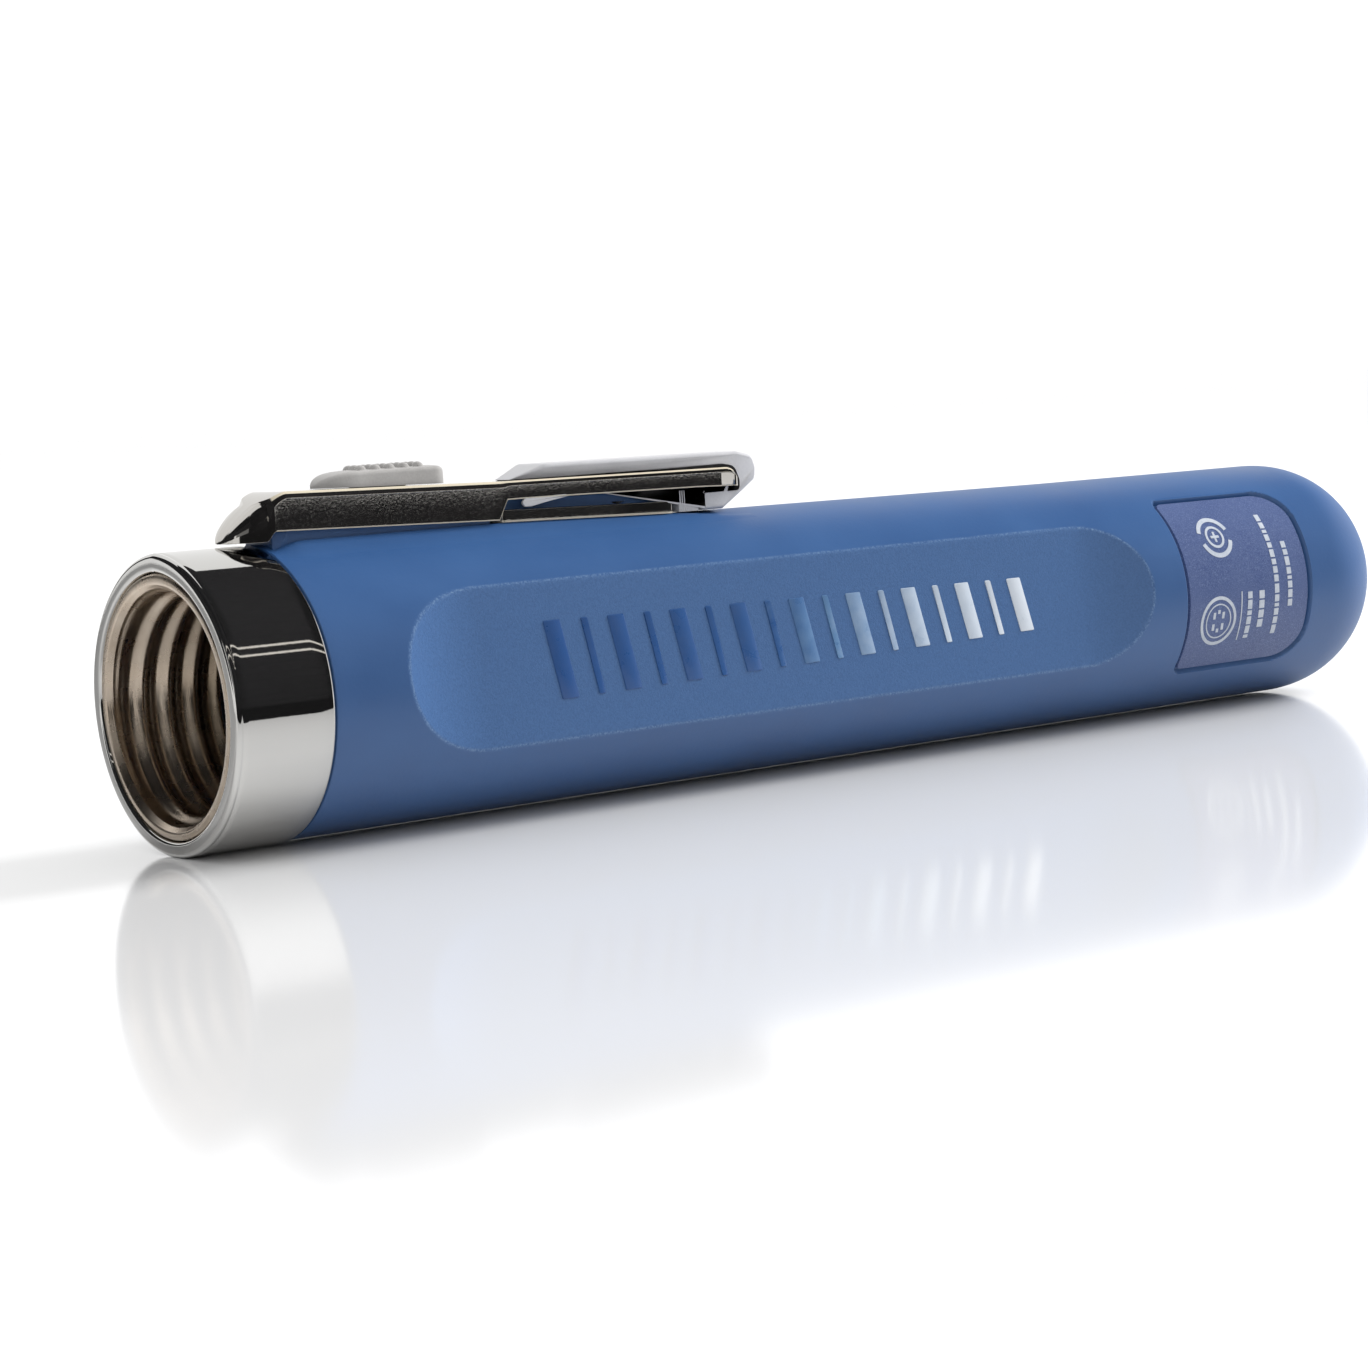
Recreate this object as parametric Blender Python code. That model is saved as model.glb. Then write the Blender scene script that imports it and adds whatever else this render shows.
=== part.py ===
"""Battery handle of a pocket otoscope.

The handle lies along X with its threaded mouth at -X and its rounded, closed end at +X.
The pocket clip and the slide switch are on top (+Z), and the handle rests on z = 0.
Lengths are written in millimetres and turned into metres when the meshes are made.
A length "x" in the functions below is measured from the mouth, and "z" from the handle's axis.
"""

from math import cos, pi, radians, sin

import bmesh
import bpy
from mathutils import Matrix, Vector

MM = 0.001
GAP = 0.3                       # clearance between touching pieces

# Handle tube and collar
LENGTH = 121.2                  # mouth to rounded end
COLLAR_R = 10.4
COLLAR_LENGTH = 7.8
COLLAR_BORE_R = 9.4
SLEEVE_R = 10.27
SLEEVE_FRONT = COLLAR_LENGTH + GAP
DOME_CENTRE = LENGTH - SLEEVE_R
DOME_FULLNESS = 2.15            # exponent of the dome's curve, 2 would be a sphere
BORE_R = 7.6
BORE_END = 114.6
POCKET_R = 6.2                  # narrower pocket for the battery spring
POCKET_END = 118.2

# Low keel along the top of the tube and the collar
KEEL_SPREAD = radians(42)
KEEL_POWER = 1.5
COLLAR_KEEL = 0.4
SLEEVE_KEEL = 0.55
KEEL_END = 85.0

# Threaded insert
INSERT_FRONT = 0.15
INSERT_R = 9.1
INSERT_SHOULDER = 7.9
TAIL_R = 8.7
TAIL_END = 11.0
TAIL_SEAT_R = 9.15
THREAD_ROOT_R = 8.35
THREAD_CREST_R = 7.75
THREAD_PITCH = 2.1
THREAD_START = 0.9
THREAD_END = 8.3
THROAT_R = 7.5

# Side panels: flats that face slightly upwards, with long curved run-outs
PANEL_TILT = radians(7)
PANEL_FLOOR = 8.46
PANEL_START = 14.0
PANEL_END = 87.9
RUNOUT_R = 15.7

# Label pocket on the front side, near the rounded end
LABEL_START = 92.2
LABEL_END = 107.3
LABEL_HALF_ANGLE = radians(45)
LABEL_THICKNESS = 0.3
LABEL_DEPTH = 0.7

# Battery cells (AA size)
CELL_R = 7.25
CELL_LENGTH = 50.5
CELL_NUB = 1.3
FRONT_CELL = 10.3
REAR_CELL = FRONT_CELL + CELL_LENGTH + GAP
CAP_FRONT = REAR_CELL + CELL_LENGTH + GAP
CAP_THICKNESS = 0.5
PLATE_FRONT = 117.5

# Clip
CLIP_HALF_WIDTH = 2.6
CLIP_WALL = 0.6
HOUSING_FRONT = 8.5
HOUSING_END = 28.15
ARM_START = HOUSING_END + GAP
ARM_END = 50.3
PAD_HALF_WIDTH = 1.95
RAIL_START = 27.75
RAIL_END = 44.0
RAIL_HALF_WIDTH = 2.35
RAIL_TOP = 11.9
RAIL_BOTTOM = 10.95
SADDLE_FRONT = HOUSING_FRONT + GAP
SADDLE_END = 44.2
SADDLE_HALF_WIDTH = 2.45
CAVITY_START = 9.6
CAVITY_END = 26.8
CAVITY_HALF_WIDTH = CLIP_HALF_WIDTH - CLIP_WALL
SLOT_START = 13.3
SLOT_END = 20.9
SLOT_HALF_WIDTH = 1.05

# Switch
WELL_START = 10.8
WELL_END = 23.2
WELL_HALF_WIDTH = 1.25
WELL_FLOOR = 9.3
STRIP_WIDTH = 1.6
STRIP_THICKNESS = 0.3
STRIP_BOTTOM = 7.65

ROUND_STEPS = 64
BORE_STEPS = 48


def clear_scene():
    for item in list(bpy.data.objects):
        bpy.data.objects.remove(item, do_unlink=True)


def material(name, colour, roughness, metallic):
    made = bpy.data.materials.new(name)
    made.use_nodes = True
    shader = made.node_tree.nodes["Principled BSDF"]
    shader.inputs["Base Color"].default_value = (*colour, 1.0)
    shader.inputs["Roughness"].default_value = roughness
    shader.inputs["Metallic"].default_value = metallic
    made.diffuse_color = (*colour, 1.0)
    return made


def point(x, y, z):
    """A place on the handle, in metres, from mm measured from the mouth and the axis."""
    return Vector(((x - LENGTH / 2) * MM, y * MM, (z + COLLAR_R) * MM))


def around(x, r, angle):
    """The point at radius r and at an angle from the top, turning towards -Y."""
    return point(x, -r * sin(angle), r * cos(angle))


def clip_edge(x):
    """Height of the clip housing's lower edge, which drops slightly towards the rear."""
    return 11.69 - 0.029 * (x - HOUSING_FRONT)


def clip_top(x):
    """Height of the clip's top face."""
    return 14.43 - 0.0237 * (x - 9.4) if x < HOUSING_END else 13.99 - 0.009 * (x - HOUSING_END)


def finish(name, bm, mat, smooth=True):
    bmesh.ops.remove_doubles(bm, verts=bm.verts, dist=1e-7)
    bmesh.ops.recalc_face_normals(bm, faces=bm.faces)
    mesh = bpy.data.meshes.new(name)
    bm.to_mesh(mesh)
    bm.free()
    if smooth:
        mesh.shade_smooth()
        mesh.set_sharp_from_angle(angle=radians(35))
    made = bpy.data.objects.new(name, mesh)
    bpy.context.scene.collection.objects.link(made)
    if mat:
        made.data.materials.append(mat)
    return made


def skin(bm, rings, closed=False):
    """Faces between neighbouring rings of vertices; a ring of one vertex is a pole."""
    pairs = list(zip(rings, rings[1:]))
    if closed:
        pairs.append((rings[-1], rings[0]))
    for low, high in pairs:
        count = max(len(low), len(high))
        for i in range(count):
            j = (i + 1) % count
            corners = [low[i % len(low)], low[j % len(low)], high[j % len(high)], high[i % len(high)]]
            bm.faces.new(list(dict.fromkeys(corners)))


def add_turned(bm, profile, steps=BORE_STEPS, closed=False):
    """A shape turned about the handle's axis from (x, r) points."""
    rings = []
    for x, r in profile:
        turns = steps if r > 0 else 1
        rings.append([bm.verts.new(around(x, r, 2 * pi * i / turns)) for i in range(turns)])
    skin(bm, rings, closed)


def turned(name, profile, mat, steps=BORE_STEPS, closed=False):
    bm = bmesh.new()
    add_turned(bm, profile, steps, closed)
    return finish(name, bm, mat)


def add_prism(bm, outline, y_low, y_high):
    """An outline of (x, z) points extruded across the handle."""
    rings = [[bm.verts.new(point(x, y, z)) for x, z in outline] for y in (y_low, y_high)]
    skin(bm, rings)
    bm.faces.new(rings[0])
    bm.faces.new(rings[1])


def prism(name, outline, half_width, mat):
    bm = bmesh.new()
    add_prism(bm, outline, -half_width, half_width)
    return finish(name, bm, mat, smooth=False)


def slab(x_low, x_high, z_low, z_high):
    """Outline of a block whose lower and upper faces are heights, or functions of x."""
    low = z_low if callable(z_low) else lambda x: z_low
    high = z_high if callable(z_high) else lambda x: z_high
    return [(x_low, low(x_low)), (x_high, low(x_high)), (x_high, high(x_high)), (x_low, high(x_low))]


def add_post(bm, x, sections, steps=20):
    """A round post standing on (x, 0), from (z, r) sections, lowest first."""
    rings = []
    for z, r in sections:
        ring = []
        for i in range(steps):
            angle = 2 * pi * i / steps
            ring.append(bm.verts.new(point(x + r * cos(angle), r * sin(angle), z)))
        rings.append(ring)
    skin(bm, rings)
    bm.faces.new(rings[0])
    bm.faces.new(rings[-1])


def cutter(bm):
    made = finish("cutter", bm, None, smooth=False)
    made.hide_render = True
    made.display_type = "WIRE"
    return made


def combine(target, tool, operation="DIFFERENCE"):
    step = target.modifiers.new(operation.lower(), "BOOLEAN")
    step.operation = operation
    step.solver = "EXACT"
    step.object = tool


def cut_prism(target, outline, y_low, y_high):
    bm = bmesh.new()
    add_prism(bm, outline, y_low, y_high)
    combine(target, cutter(bm))


def round_edges(target, width, segments=2):
    step = target.modifiers.new("edges", "BEVEL")
    step.width = width * MM
    step.segments = segments
    step.limit_method = "ANGLE"
    step.angle_limit = radians(35)


def keel_rise(angle, height):
    """Extra radius of the keel at an angle from the top."""
    turn = min(angle, 2 * pi - angle)
    return height * max(0.0, 1.0 - turn / KEEL_SPREAD) ** KEEL_POWER


def keeled_ring(bm, x, r, height):
    ring = []
    for i in range(ROUND_STEPS):
        angle = 2 * pi * i / ROUND_STEPS
        ring.append(bm.verts.new(around(x, r + keel_rise(angle, height), angle)))
    return ring


def sleeve_keel(x):
    return SLEEVE_KEEL * max(0.0, 1.0 - x / KEEL_END)


def dome_radius(x):
    reach = (x - DOME_CENTRE) / SLEEVE_R
    return SLEEVE_R * (1.0 - reach ** DOME_FULLNESS) ** (1.0 / DOME_FULLNESS)


def make_sleeve(mat):
    bm = bmesh.new()
    rings = [keeled_ring(bm, x, SLEEVE_R, sleeve_keel(x)) for x in (SLEEVE_FRONT, KEEL_END, DOME_CENTRE)]
    dome_steps = 9
    for i in range(1, dome_steps):
        x = DOME_CENTRE + SLEEVE_R * sin(0.5 * pi * i / dome_steps)
        rings.append(keeled_ring(bm, x, dome_radius(x), 0.0))
    rings.append([bm.verts.new(point(LENGTH, 0, 0))])
    skin(bm, rings)
    bm.faces.new(rings[0])
    sleeve = finish("handle_sleeve", bm, mat)

    saddle = bmesh.new()
    outline = [
        (SADDLE_FRONT, 8.9),
        (SADDLE_END, 8.9),
        (SADDLE_END, RAIL_BOTTOM - GAP),
        (HOUSING_END, RAIL_BOTTOM - GAP),
        (HOUSING_END - 0.6, clip_edge(HOUSING_END) - GAP),
        (SADDLE_FRONT, clip_edge(SADDLE_FRONT) - GAP),
    ]
    add_prism(saddle, outline, -SADDLE_HALF_WIDTH, SADDLE_HALF_WIDTH)
    combine(sleeve, cutter(saddle), "UNION")

    bore = bmesh.new()
    outside = SLEEVE_FRONT - 2
    profile = [(outside, 0), (outside, TAIL_SEAT_R), (TAIL_END + GAP, TAIL_SEAT_R), (TAIL_END + GAP, BORE_R)]
    profile += [(BORE_END, BORE_R), (BORE_END, POCKET_R), (POCKET_END, POCKET_R), (POCKET_END, 0)]
    add_turned(bore, profile)
    combine(sleeve, cutter(bore))

    strip_gap = STRIP_WIDTH / 2 + GAP
    groove_top = STRIP_BOTTOM + STRIP_THICKNESS + GAP
    cut_prism(sleeve, slab(TAIL_END, BORE_END - 0.02, 6.0, groove_top), -strip_gap, strip_gap)
    cut_prism(sleeve, slab(WELL_START, WELL_END, WELL_FLOOR, 12.0), -WELL_HALF_WIDTH, WELL_HALF_WIDTH)
    cut_prism(sleeve, slab(21.9, 22.9, 7.8, 9.5), -strip_gap, strip_gap)
    cut_prism(sleeve, slab(12.7, 13.7, 7.8, 9.5), -strip_gap, strip_gap)
    for x, r in ((25.2, 0.75), (31.2, 1.0), (39.2, 1.0)):
        hole = bmesh.new()
        add_post(hole, x, [(8.55, r), (12.0, r)])
        combine(sleeve, cutter(hole))
    for side in (-1, 1):
        combine(sleeve, cutter(panel_cut(side)))
    combine(sleeve, cutter(label_shape(LABEL_DEPTH, 2.0, GAP)))
    return sleeve


def panel_cut(side):
    """The space that a side panel leaves: flat along the handle, rising in an arc at both ends."""
    rise = SLEEVE_R - PANEL_FLOOR + 0.6
    reach = (RUNOUT_R ** 2 - (RUNOUT_R - (SLEEVE_R - PANEL_FLOOR)) ** 2) ** 0.5
    arc = []
    steps = 8
    top = (RUNOUT_R ** 2 - (RUNOUT_R - rise) ** 2) ** 0.5
    for i in range(steps + 1):
        along = top * i / steps
        arc.append((along, RUNOUT_R - (RUNOUT_R ** 2 - along ** 2) ** 0.5))
    front = [(PANEL_START + reach - along, PANEL_FLOOR + up) for along, up in reversed(arc)]
    rear = [(PANEL_END - reach + along, PANEL_FLOOR + up) for along, up in arc]
    outline = front + rear + [(PANEL_END + 4, 13.0), (PANEL_START - 4, 13.0)]
    bm = bmesh.new()
    rings = []
    for across in (-9.0, 9.0):
        ring = []
        for x, out in outline:
            y = side * (out * cos(PANEL_TILT) - across * sin(PANEL_TILT))
            z = out * sin(PANEL_TILT) + across * cos(PANEL_TILT)
            ring.append(bm.verts.new(point(x, y, z)))
        rings.append(ring)
    skin(bm, rings)
    bm.faces.new(rings[0])
    bm.faces.new(rings[1])
    return bm


def label_shape(depth, outside, margin):
    """A curved block of the label's outline between two radii, centred on the panel's direction."""
    bm = bmesh.new()
    steps = 14
    half = LABEL_HALF_ANGLE + margin / SLEEVE_R
    centre = pi / 2 - PANEL_TILT
    rings = []
    for i in range(steps + 1):
        angle = centre - half + 2 * half * i / steps
        corners = [
            (LABEL_START - margin, SLEEVE_R - depth),
            (LABEL_END + margin, SLEEVE_R - depth),
            (LABEL_END + margin, SLEEVE_R + outside),
            (LABEL_START - margin, SLEEVE_R + outside),
        ]
        rings.append([bm.verts.new(around(x, r, angle)) for x, r in corners])
    skin(bm, rings)
    bm.faces.new(rings[0])
    bm.faces.new(rings[-1])
    return bm


def make_collar(mat):
    bm = bmesh.new()
    lip = 0.25
    outer = [
        keeled_ring(bm, 0, COLLAR_R - lip, COLLAR_KEEL),
        keeled_ring(bm, lip, COLLAR_R, COLLAR_KEEL),
        keeled_ring(bm, COLLAR_LENGTH - lip, COLLAR_R, COLLAR_KEEL),
        keeled_ring(bm, COLLAR_LENGTH, COLLAR_R - lip, COLLAR_KEEL),
    ]
    inner = [keeled_ring(bm, x, COLLAR_BORE_R, 0) for x in (COLLAR_LENGTH, 0)]
    skin(bm, outer + inner, closed=True)
    return finish("collar", bm, mat)


def thread_radius(x, angle):
    """Inner radius of the insert: a mouth, a rounded helical thread and a plain throat."""
    if x >= THREAD_END + 0.6:
        return THROAT_R
    if x <= THREAD_START:
        return THREAD_ROOT_R
    wave = 0.5 - 0.5 * cos(2 * pi * (x / THREAD_PITCH - angle / (2 * pi)))
    fade = min(1.0, (x - THREAD_START) / 0.8, max(0.0, (THREAD_END - x) / 0.8))
    return THREAD_ROOT_R - (THREAD_ROOT_R - THREAD_CREST_R) * fade * wave ** 0.7


def make_insert(mat):
    bm = bmesh.new()
    turns = 40
    stations = [INSERT_FRONT, THREAD_START]
    steps = 28
    stations += [THREAD_START + (THREAD_END - THREAD_START) * (i + 1) / steps for i in range(steps)]
    stations += [THREAD_END + 0.6, TAIL_END]
    rings = []
    for x in stations:
        ring = []
        for i in range(turns):
            angle = 2 * pi * i / turns
            ring.append(bm.verts.new(around(x, thread_radius(x, angle), angle)))
        rings.append(ring)
    outer = [
        (TAIL_END, TAIL_R),
        (10.3, TAIL_R),
        (10.3, 7.95),
        (9.1, 7.95),
        (9.1, TAIL_R),
        (INSERT_SHOULDER, TAIL_R),
        (INSERT_SHOULDER, INSERT_R),
        (INSERT_FRONT + 0.15, INSERT_R),
        (INSERT_FRONT, INSERT_R - 0.15),
    ]
    for x, r in outer:
        rings.append([bm.verts.new(around(x, r, 2 * pi * i / turns)) for i in range(turns)])
    skin(bm, rings, closed=True)
    return finish("threaded_insert", bm, mat)


def make_o_ring(mat):
    section = [(9.7 + 0.3 * cos(2 * pi * i / 8), 8.55 + 0.3 * sin(2 * pi * i / 8)) for i in range(8)]
    return turned("insert_o_ring", section, mat, steps=36, closed=True)


def make_cell(prefix, start, mats):
    """A battery cell whose positive end is at x = start."""
    shoulder = start + CELL_NUB
    nub_r, disc_r = 2.7, 4.2
    cap = [(start, 0), (start, nub_r), (shoulder, nub_r), (shoulder, disc_r), (shoulder + 0.5, disc_r)]
    turned(prefix + "_cap", cap + [(shoulder + 0.5, 0)], mats["nickel"], steps=32)
    seal = [(shoulder, disc_r + GAP), (shoulder, 6.6), (shoulder + 0.5, 6.6), (shoulder + 0.5, disc_r + GAP)]
    turned(prefix + "_seal", seal, mats["black"], steps=32, closed=True)
    can_r = CELL_R - 0.55
    can_front, can_rear = shoulder + 0.8, start + CELL_LENGTH
    can = [(can_front, 0), (can_front, can_r), (can_rear - 0.4, can_r), (can_rear, can_r - 0.4), (can_rear, 0)]
    turned(prefix + "_can", can, mats["nickel"], steps=32)
    ends = (start + 1.0, can_rear - 0.3)
    wrap = [(ends[0], CELL_R - 0.25), (ends[0], CELL_R), (ends[1], CELL_R), (ends[1], CELL_R - 0.25)]
    turned(prefix + "_wrap", wrap, mats["jacket"], steps=40, closed=True)


def make_contacts(mats):
    width = STRIP_WIDTH / 2
    low, high = STRIP_BOTTOM, STRIP_BOTTOM + STRIP_THICKNESS
    floor = WELL_FLOOR + GAP
    strip = [
        (16.6, floor), (16.6, floor + 0.3), (22.55, floor + 0.3), (22.55, high),
        (114.2, high), (114.2, 5.8), (PLATE_FRONT - GAP, 5.8), (PLATE_FRONT - GAP, 5.5),
        (113.9, 5.5), (113.9, low), (22.25, low), (22.25, floor),
    ]
    prism("contact_strip", strip, width, mats["brass"])
    ground = [
        (TAIL_END + GAP, low), (13.35, low), (13.35, floor), (14.6, floor),
        (14.6, floor + 0.3), (13.05, floor + 0.3), (13.05, high), (TAIL_END + GAP, high),
    ]
    prism("ground_contact", ground, width, mats["brass"])
    plate = [(PLATE_FRONT, 0), (PLATE_FRONT, 5.9), (PLATE_FRONT + 0.4, 5.9), (PLATE_FRONT + 0.4, 0)]
    turned("spring_plate", plate, mats["brass"], steps=32)
    rear = CAP_FRONT + CAP_THICKNESS
    cap = [(CAP_FRONT, 0), (CAP_FRONT, 5.0), (rear, 5.0), (rear, 1.8), (rear + 1.2, 1.8), (rear + 1.2, 0)]
    turned("spring_cap", cap, mats["brass"], steps=32)


def make_spring(mat):
    """A conical coil, wide at the plate and narrow at the moving cap."""
    wire_r = 0.3
    front = CAP_FRONT + CAP_THICKNESS + GAP + wire_r
    rear = PLATE_FRONT - GAP - wire_r
    turns, steps = 3.5, 56
    curve = bpy.data.curves.new("battery_spring", "CURVE")
    curve.dimensions = "3D"
    curve.bevel_depth = wire_r * MM
    curve.bevel_resolution = 1
    curve.use_fill_caps = True
    spline = curve.splines.new("POLY")
    spline.points.add(steps)
    for i in range(steps + 1):
        share = i / steps
        place = around(rear + (front - rear) * share, 4.2 - 1.6 * share, 2 * pi * turns * share)
        spline.points[i].co = (*place, 1.0)
    made = bpy.data.objects.new("battery_spring", curve)
    bpy.context.scene.collection.objects.link(made)
    curve.materials.append(mat)


def housing_sections():
    """Half width, lower and upper height of the clip housing along its length."""
    nose = [(5.35, 0.4, 11.1, 11.3), (5.6, 1.03, 11.1, 11.85), (6.3, 1.87, 11.1, 12.74)]
    nose += [(7.45, 2.45, 11.1, 13.66), (8.2, 2.59, 11.15, 14.04)]
    sides = [(HOUSING_FRONT, CLIP_HALF_WIDTH, clip_edge(HOUSING_FRONT), 14.15)]
    sides += [(x, CLIP_HALF_WIDTH, clip_edge(x), clip_top(x)) for x in (9.6, 27.35)]
    return nose + sides + [(HOUSING_END, CLIP_HALF_WIDTH, 12.61, clip_top(28.0))]


def clip_ring(bm, x, half, low, high):
    """A channel-like section with bevelled upper corners."""
    edge = min(0.45, half * 0.3, (high - low) * 0.4)
    corners = [(-half, low), (-half, high - edge), (-half + edge, high)]
    corners += [(-y, z) for y, z in reversed(corners)]
    return [bm.verts.new(point(x, y, z)) for y, z in corners]


def make_housing(mat):
    bm = bmesh.new()
    rings = [clip_ring(bm, *section) for section in housing_sections()]
    skin(bm, rings)
    bm.faces.new(rings[0])
    bm.faces.new(rings[-1])
    housing = finish("clip_housing", bm, mat)
    ceiling = slab(CAVITY_START, CAVITY_END, 9.0, lambda x: clip_top(x) - CLIP_WALL)
    cut_prism(housing, ceiling, -CAVITY_HALF_WIDTH, CAVITY_HALF_WIDTH)
    cut_prism(housing, slab(SLOT_START, SLOT_END, 12.0, 16.0), -SLOT_HALF_WIDTH, SLOT_HALF_WIDTH)
    return housing


def make_arm(mat):
    bm = bmesh.new()
    sections = [
        (ARM_START, CLIP_HALF_WIDTH, 12.62, clip_top(ARM_START)),
        (ARM_END - 1.4, CLIP_HALF_WIDTH, 12.36, clip_top(ARM_END - 1.4)),
        (ARM_END - 0.6, CLIP_HALF_WIDTH, 12.33, 13.5),
        (ARM_END - 0.15, 2.45, 12.3, 13.0),
        (ARM_END, 2.2, 12.3, 12.6),
    ]
    rings = [clip_ring(bm, *section) for section in sections]
    skin(bm, rings)
    bm.faces.new(rings[0])
    bm.faces.new(rings[-1])
    return finish("clip_arm", bm, mat)


def make_pad(mat):
    """The grip pad: it lies on the arm, wraps round its end and reaches down as a foot."""
    outline = [
        (29.4, clip_top(29.4) + GAP), (30.6, 15.1), (50.4, 15.0), (51.8, 14.75), (52.7, 14.1), (53.05, 13.2),
        (52.7, 12.6), (51.5, 11.95), (48.9, 10.85), (44.9, 10.85), (44.9, 12.05), (ARM_END + GAP, 11.98),
        (ARM_END + GAP, clip_top(ARM_END) + GAP),
    ]
    pad = prism("clip_pad", outline, PAD_HALF_WIDTH, mat)
    round_edges(pad, 0.12, 1)
    return pad


def make_rail(mats):
    outline = [
        (RAIL_START, RAIL_BOTTOM), (RAIL_END, RAIL_BOTTOM), (RAIL_END, RAIL_BOTTOM + 0.25),
        (42.2, 11.5), (41.2, RAIL_TOP), (RAIL_START + 0.45, RAIL_TOP),
    ]
    rail = prism("clip_rail", outline, RAIL_HALF_WIDTH, mats["chrome"])
    for name, x in (("rail_screw_front", 31.2), ("rail_screw_rear", 39.2)):
        hole = bmesh.new()
        add_post(hole, x, [(10.0, 1.0), (11.15, 1.0), (RAIL_TOP + 0.1, 1.85)])
        combine(rail, cutter(hole))
        screw = bmesh.new()
        add_post(screw, x, [(8.9, 0.7), (11.15, 0.7), (RAIL_TOP - 0.1, 1.4)])
        finish(name, screw, mats["steel"])


def make_base(mats):
    """The plate on which the switch slides, inside the clip housing, and its screw."""
    base = prism("clip_base", slab(9.9, 26.5, clip_edge, lambda x: clip_edge(x) + 0.5), 1.7, mats["steel"])
    cut_prism(base, slab(WELL_START, WELL_END, 10.0, 13.0), -WELL_HALF_WIDTH, WELL_HALF_WIDTH)
    hole = bmesh.new()
    add_post(hole, 25.2, [(10.0, 0.75), (13.0, 0.75)])
    combine(base, cutter(hole))
    screw = bmesh.new()
    head = clip_edge(25.2) + 0.85
    add_post(screw, 25.2, [(8.85, 0.45), (head, 0.45), (head + 0.01, 0.8), (head + 0.4, 0.75)], steps=16)
    finish("base_screw", screw, mats["steel"])


def make_switch(mats):
    bottom = 14.5
    outline = [(13.15, bottom), (13.5, 14.95), (14.4, 15.4), (15.8, 15.62)]
    ridges, first, pitch = 5, 16.3, 1.22
    for i in range(ridges):
        start = first + pitch * i
        outline += [(start, 15.58), (start + 0.3, 15.9), (start + 0.75, 15.9), (start + 1.05, 15.58)]
    outline += [(22.9, 15.5), (23.5, 15.2), (23.85, bottom)]
    bm = bmesh.new()
    add_prism(bm, outline, -1.75, 1.75)
    button = finish("switch_button", bm, mats["grey"], smooth=False)
    stem = bmesh.new()
    add_prism(stem, slab(16.6, 20.6, 13.2, 14.9), -0.75, 0.75)
    combine(button, cutter(stem), "UNION")

    plate = slab(12.6, 23.0, lambda x: clip_edge(x) + 0.8, lambda x: clip_edge(x) + 1.4)
    carrier = prism("switch_carrier", plate, 1.2, mats["black"])
    block = bmesh.new()
    add_prism(block, slab(15.4, 20.6, 10.8, 12.4), -0.85, 0.85)
    combine(carrier, cutter(block), "UNION")
    wiper = [(15.2, 10.2), (15.8, 10.2), (16.2, 10.35), (19.8, 10.35), (20.2, 10.2), (20.8, 10.2)]
    wiper += [(x, z + 0.15) for x, z in reversed(wiper)]
    prism("switch_wiper", wiper, 0.75, mats["brass"])
    leaf = bmesh.new()
    path = [(12.6, 1.62), (15.6, 1.6), (16.6, 1.52), (17.2, 1.52), (18.2, 1.6), (22.6, 1.62)]
    ring_sets = []
    for rise in (0.82, 1.35):
        inner = [leaf.verts.new(point(x, y, clip_edge(x) + rise)) for x, y in path]
        outer = [leaf.verts.new(point(x, y + 0.12, clip_edge(x) + rise)) for x, y in reversed(path)]
        ring_sets.append(inner + outer)
    skin(leaf, ring_sets)
    leaf.faces.new(ring_sets[0])
    leaf.faces.new(ring_sets[1])
    finish("detent_leaf", leaf, mats["steel"], smooth=False)


def make_label(mat):
    bm = label_shape(0.4, LABEL_THICKNESS - 0.4, 0.0)
    return finish("rating_label", bm, mat)


def main():
    clear_scene()
    mats = {
        "blue": material("blue_plastic", (0.055, 0.15, 0.34), 0.5, 0.0),
        "chrome": material("chrome", (0.85, 0.85, 0.86), 0.06, 1.0),
        "nickel": material("nickel", (0.72, 0.66, 0.58), 0.22, 1.0),
        "brass": material("contact_brass", (0.75, 0.56, 0.27), 0.3, 1.0),
        "steel": material("spring_steel", (0.62, 0.62, 0.63), 0.3, 1.0),
        "grey": material("grey_plastic", (0.55, 0.54, 0.54), 0.45, 0.0),
        "black": material("black_plastic", (0.02, 0.02, 0.022), 0.55, 0.0),
        "jacket": material("cell_jacket", (0.03, 0.035, 0.045), 0.35, 0.0),
        "label": material("label_blue", (0.09, 0.11, 0.3), 0.4, 0.0),
    }
    make_sleeve(mats["blue"])
    make_collar(mats["chrome"])
    make_insert(mats["nickel"])
    make_o_ring(mats["black"])
    make_label(mats["label"])
    make_cell("front_cell", FRONT_CELL, mats)
    make_cell("rear_cell", REAR_CELL, mats)
    make_contacts(mats)
    make_spring(mats["steel"])
    make_housing(mats["chrome"])
    make_arm(mats["chrome"])
    make_pad(mats["grey"])
    make_rail(mats)
    make_base(mats)
    make_switch(mats)


main()
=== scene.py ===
from math import acos, asin, ceil, cos, pi, radians, sin

import bmesh
import bpy
import numpy as np
from mathutils import Matrix, Vector


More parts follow.
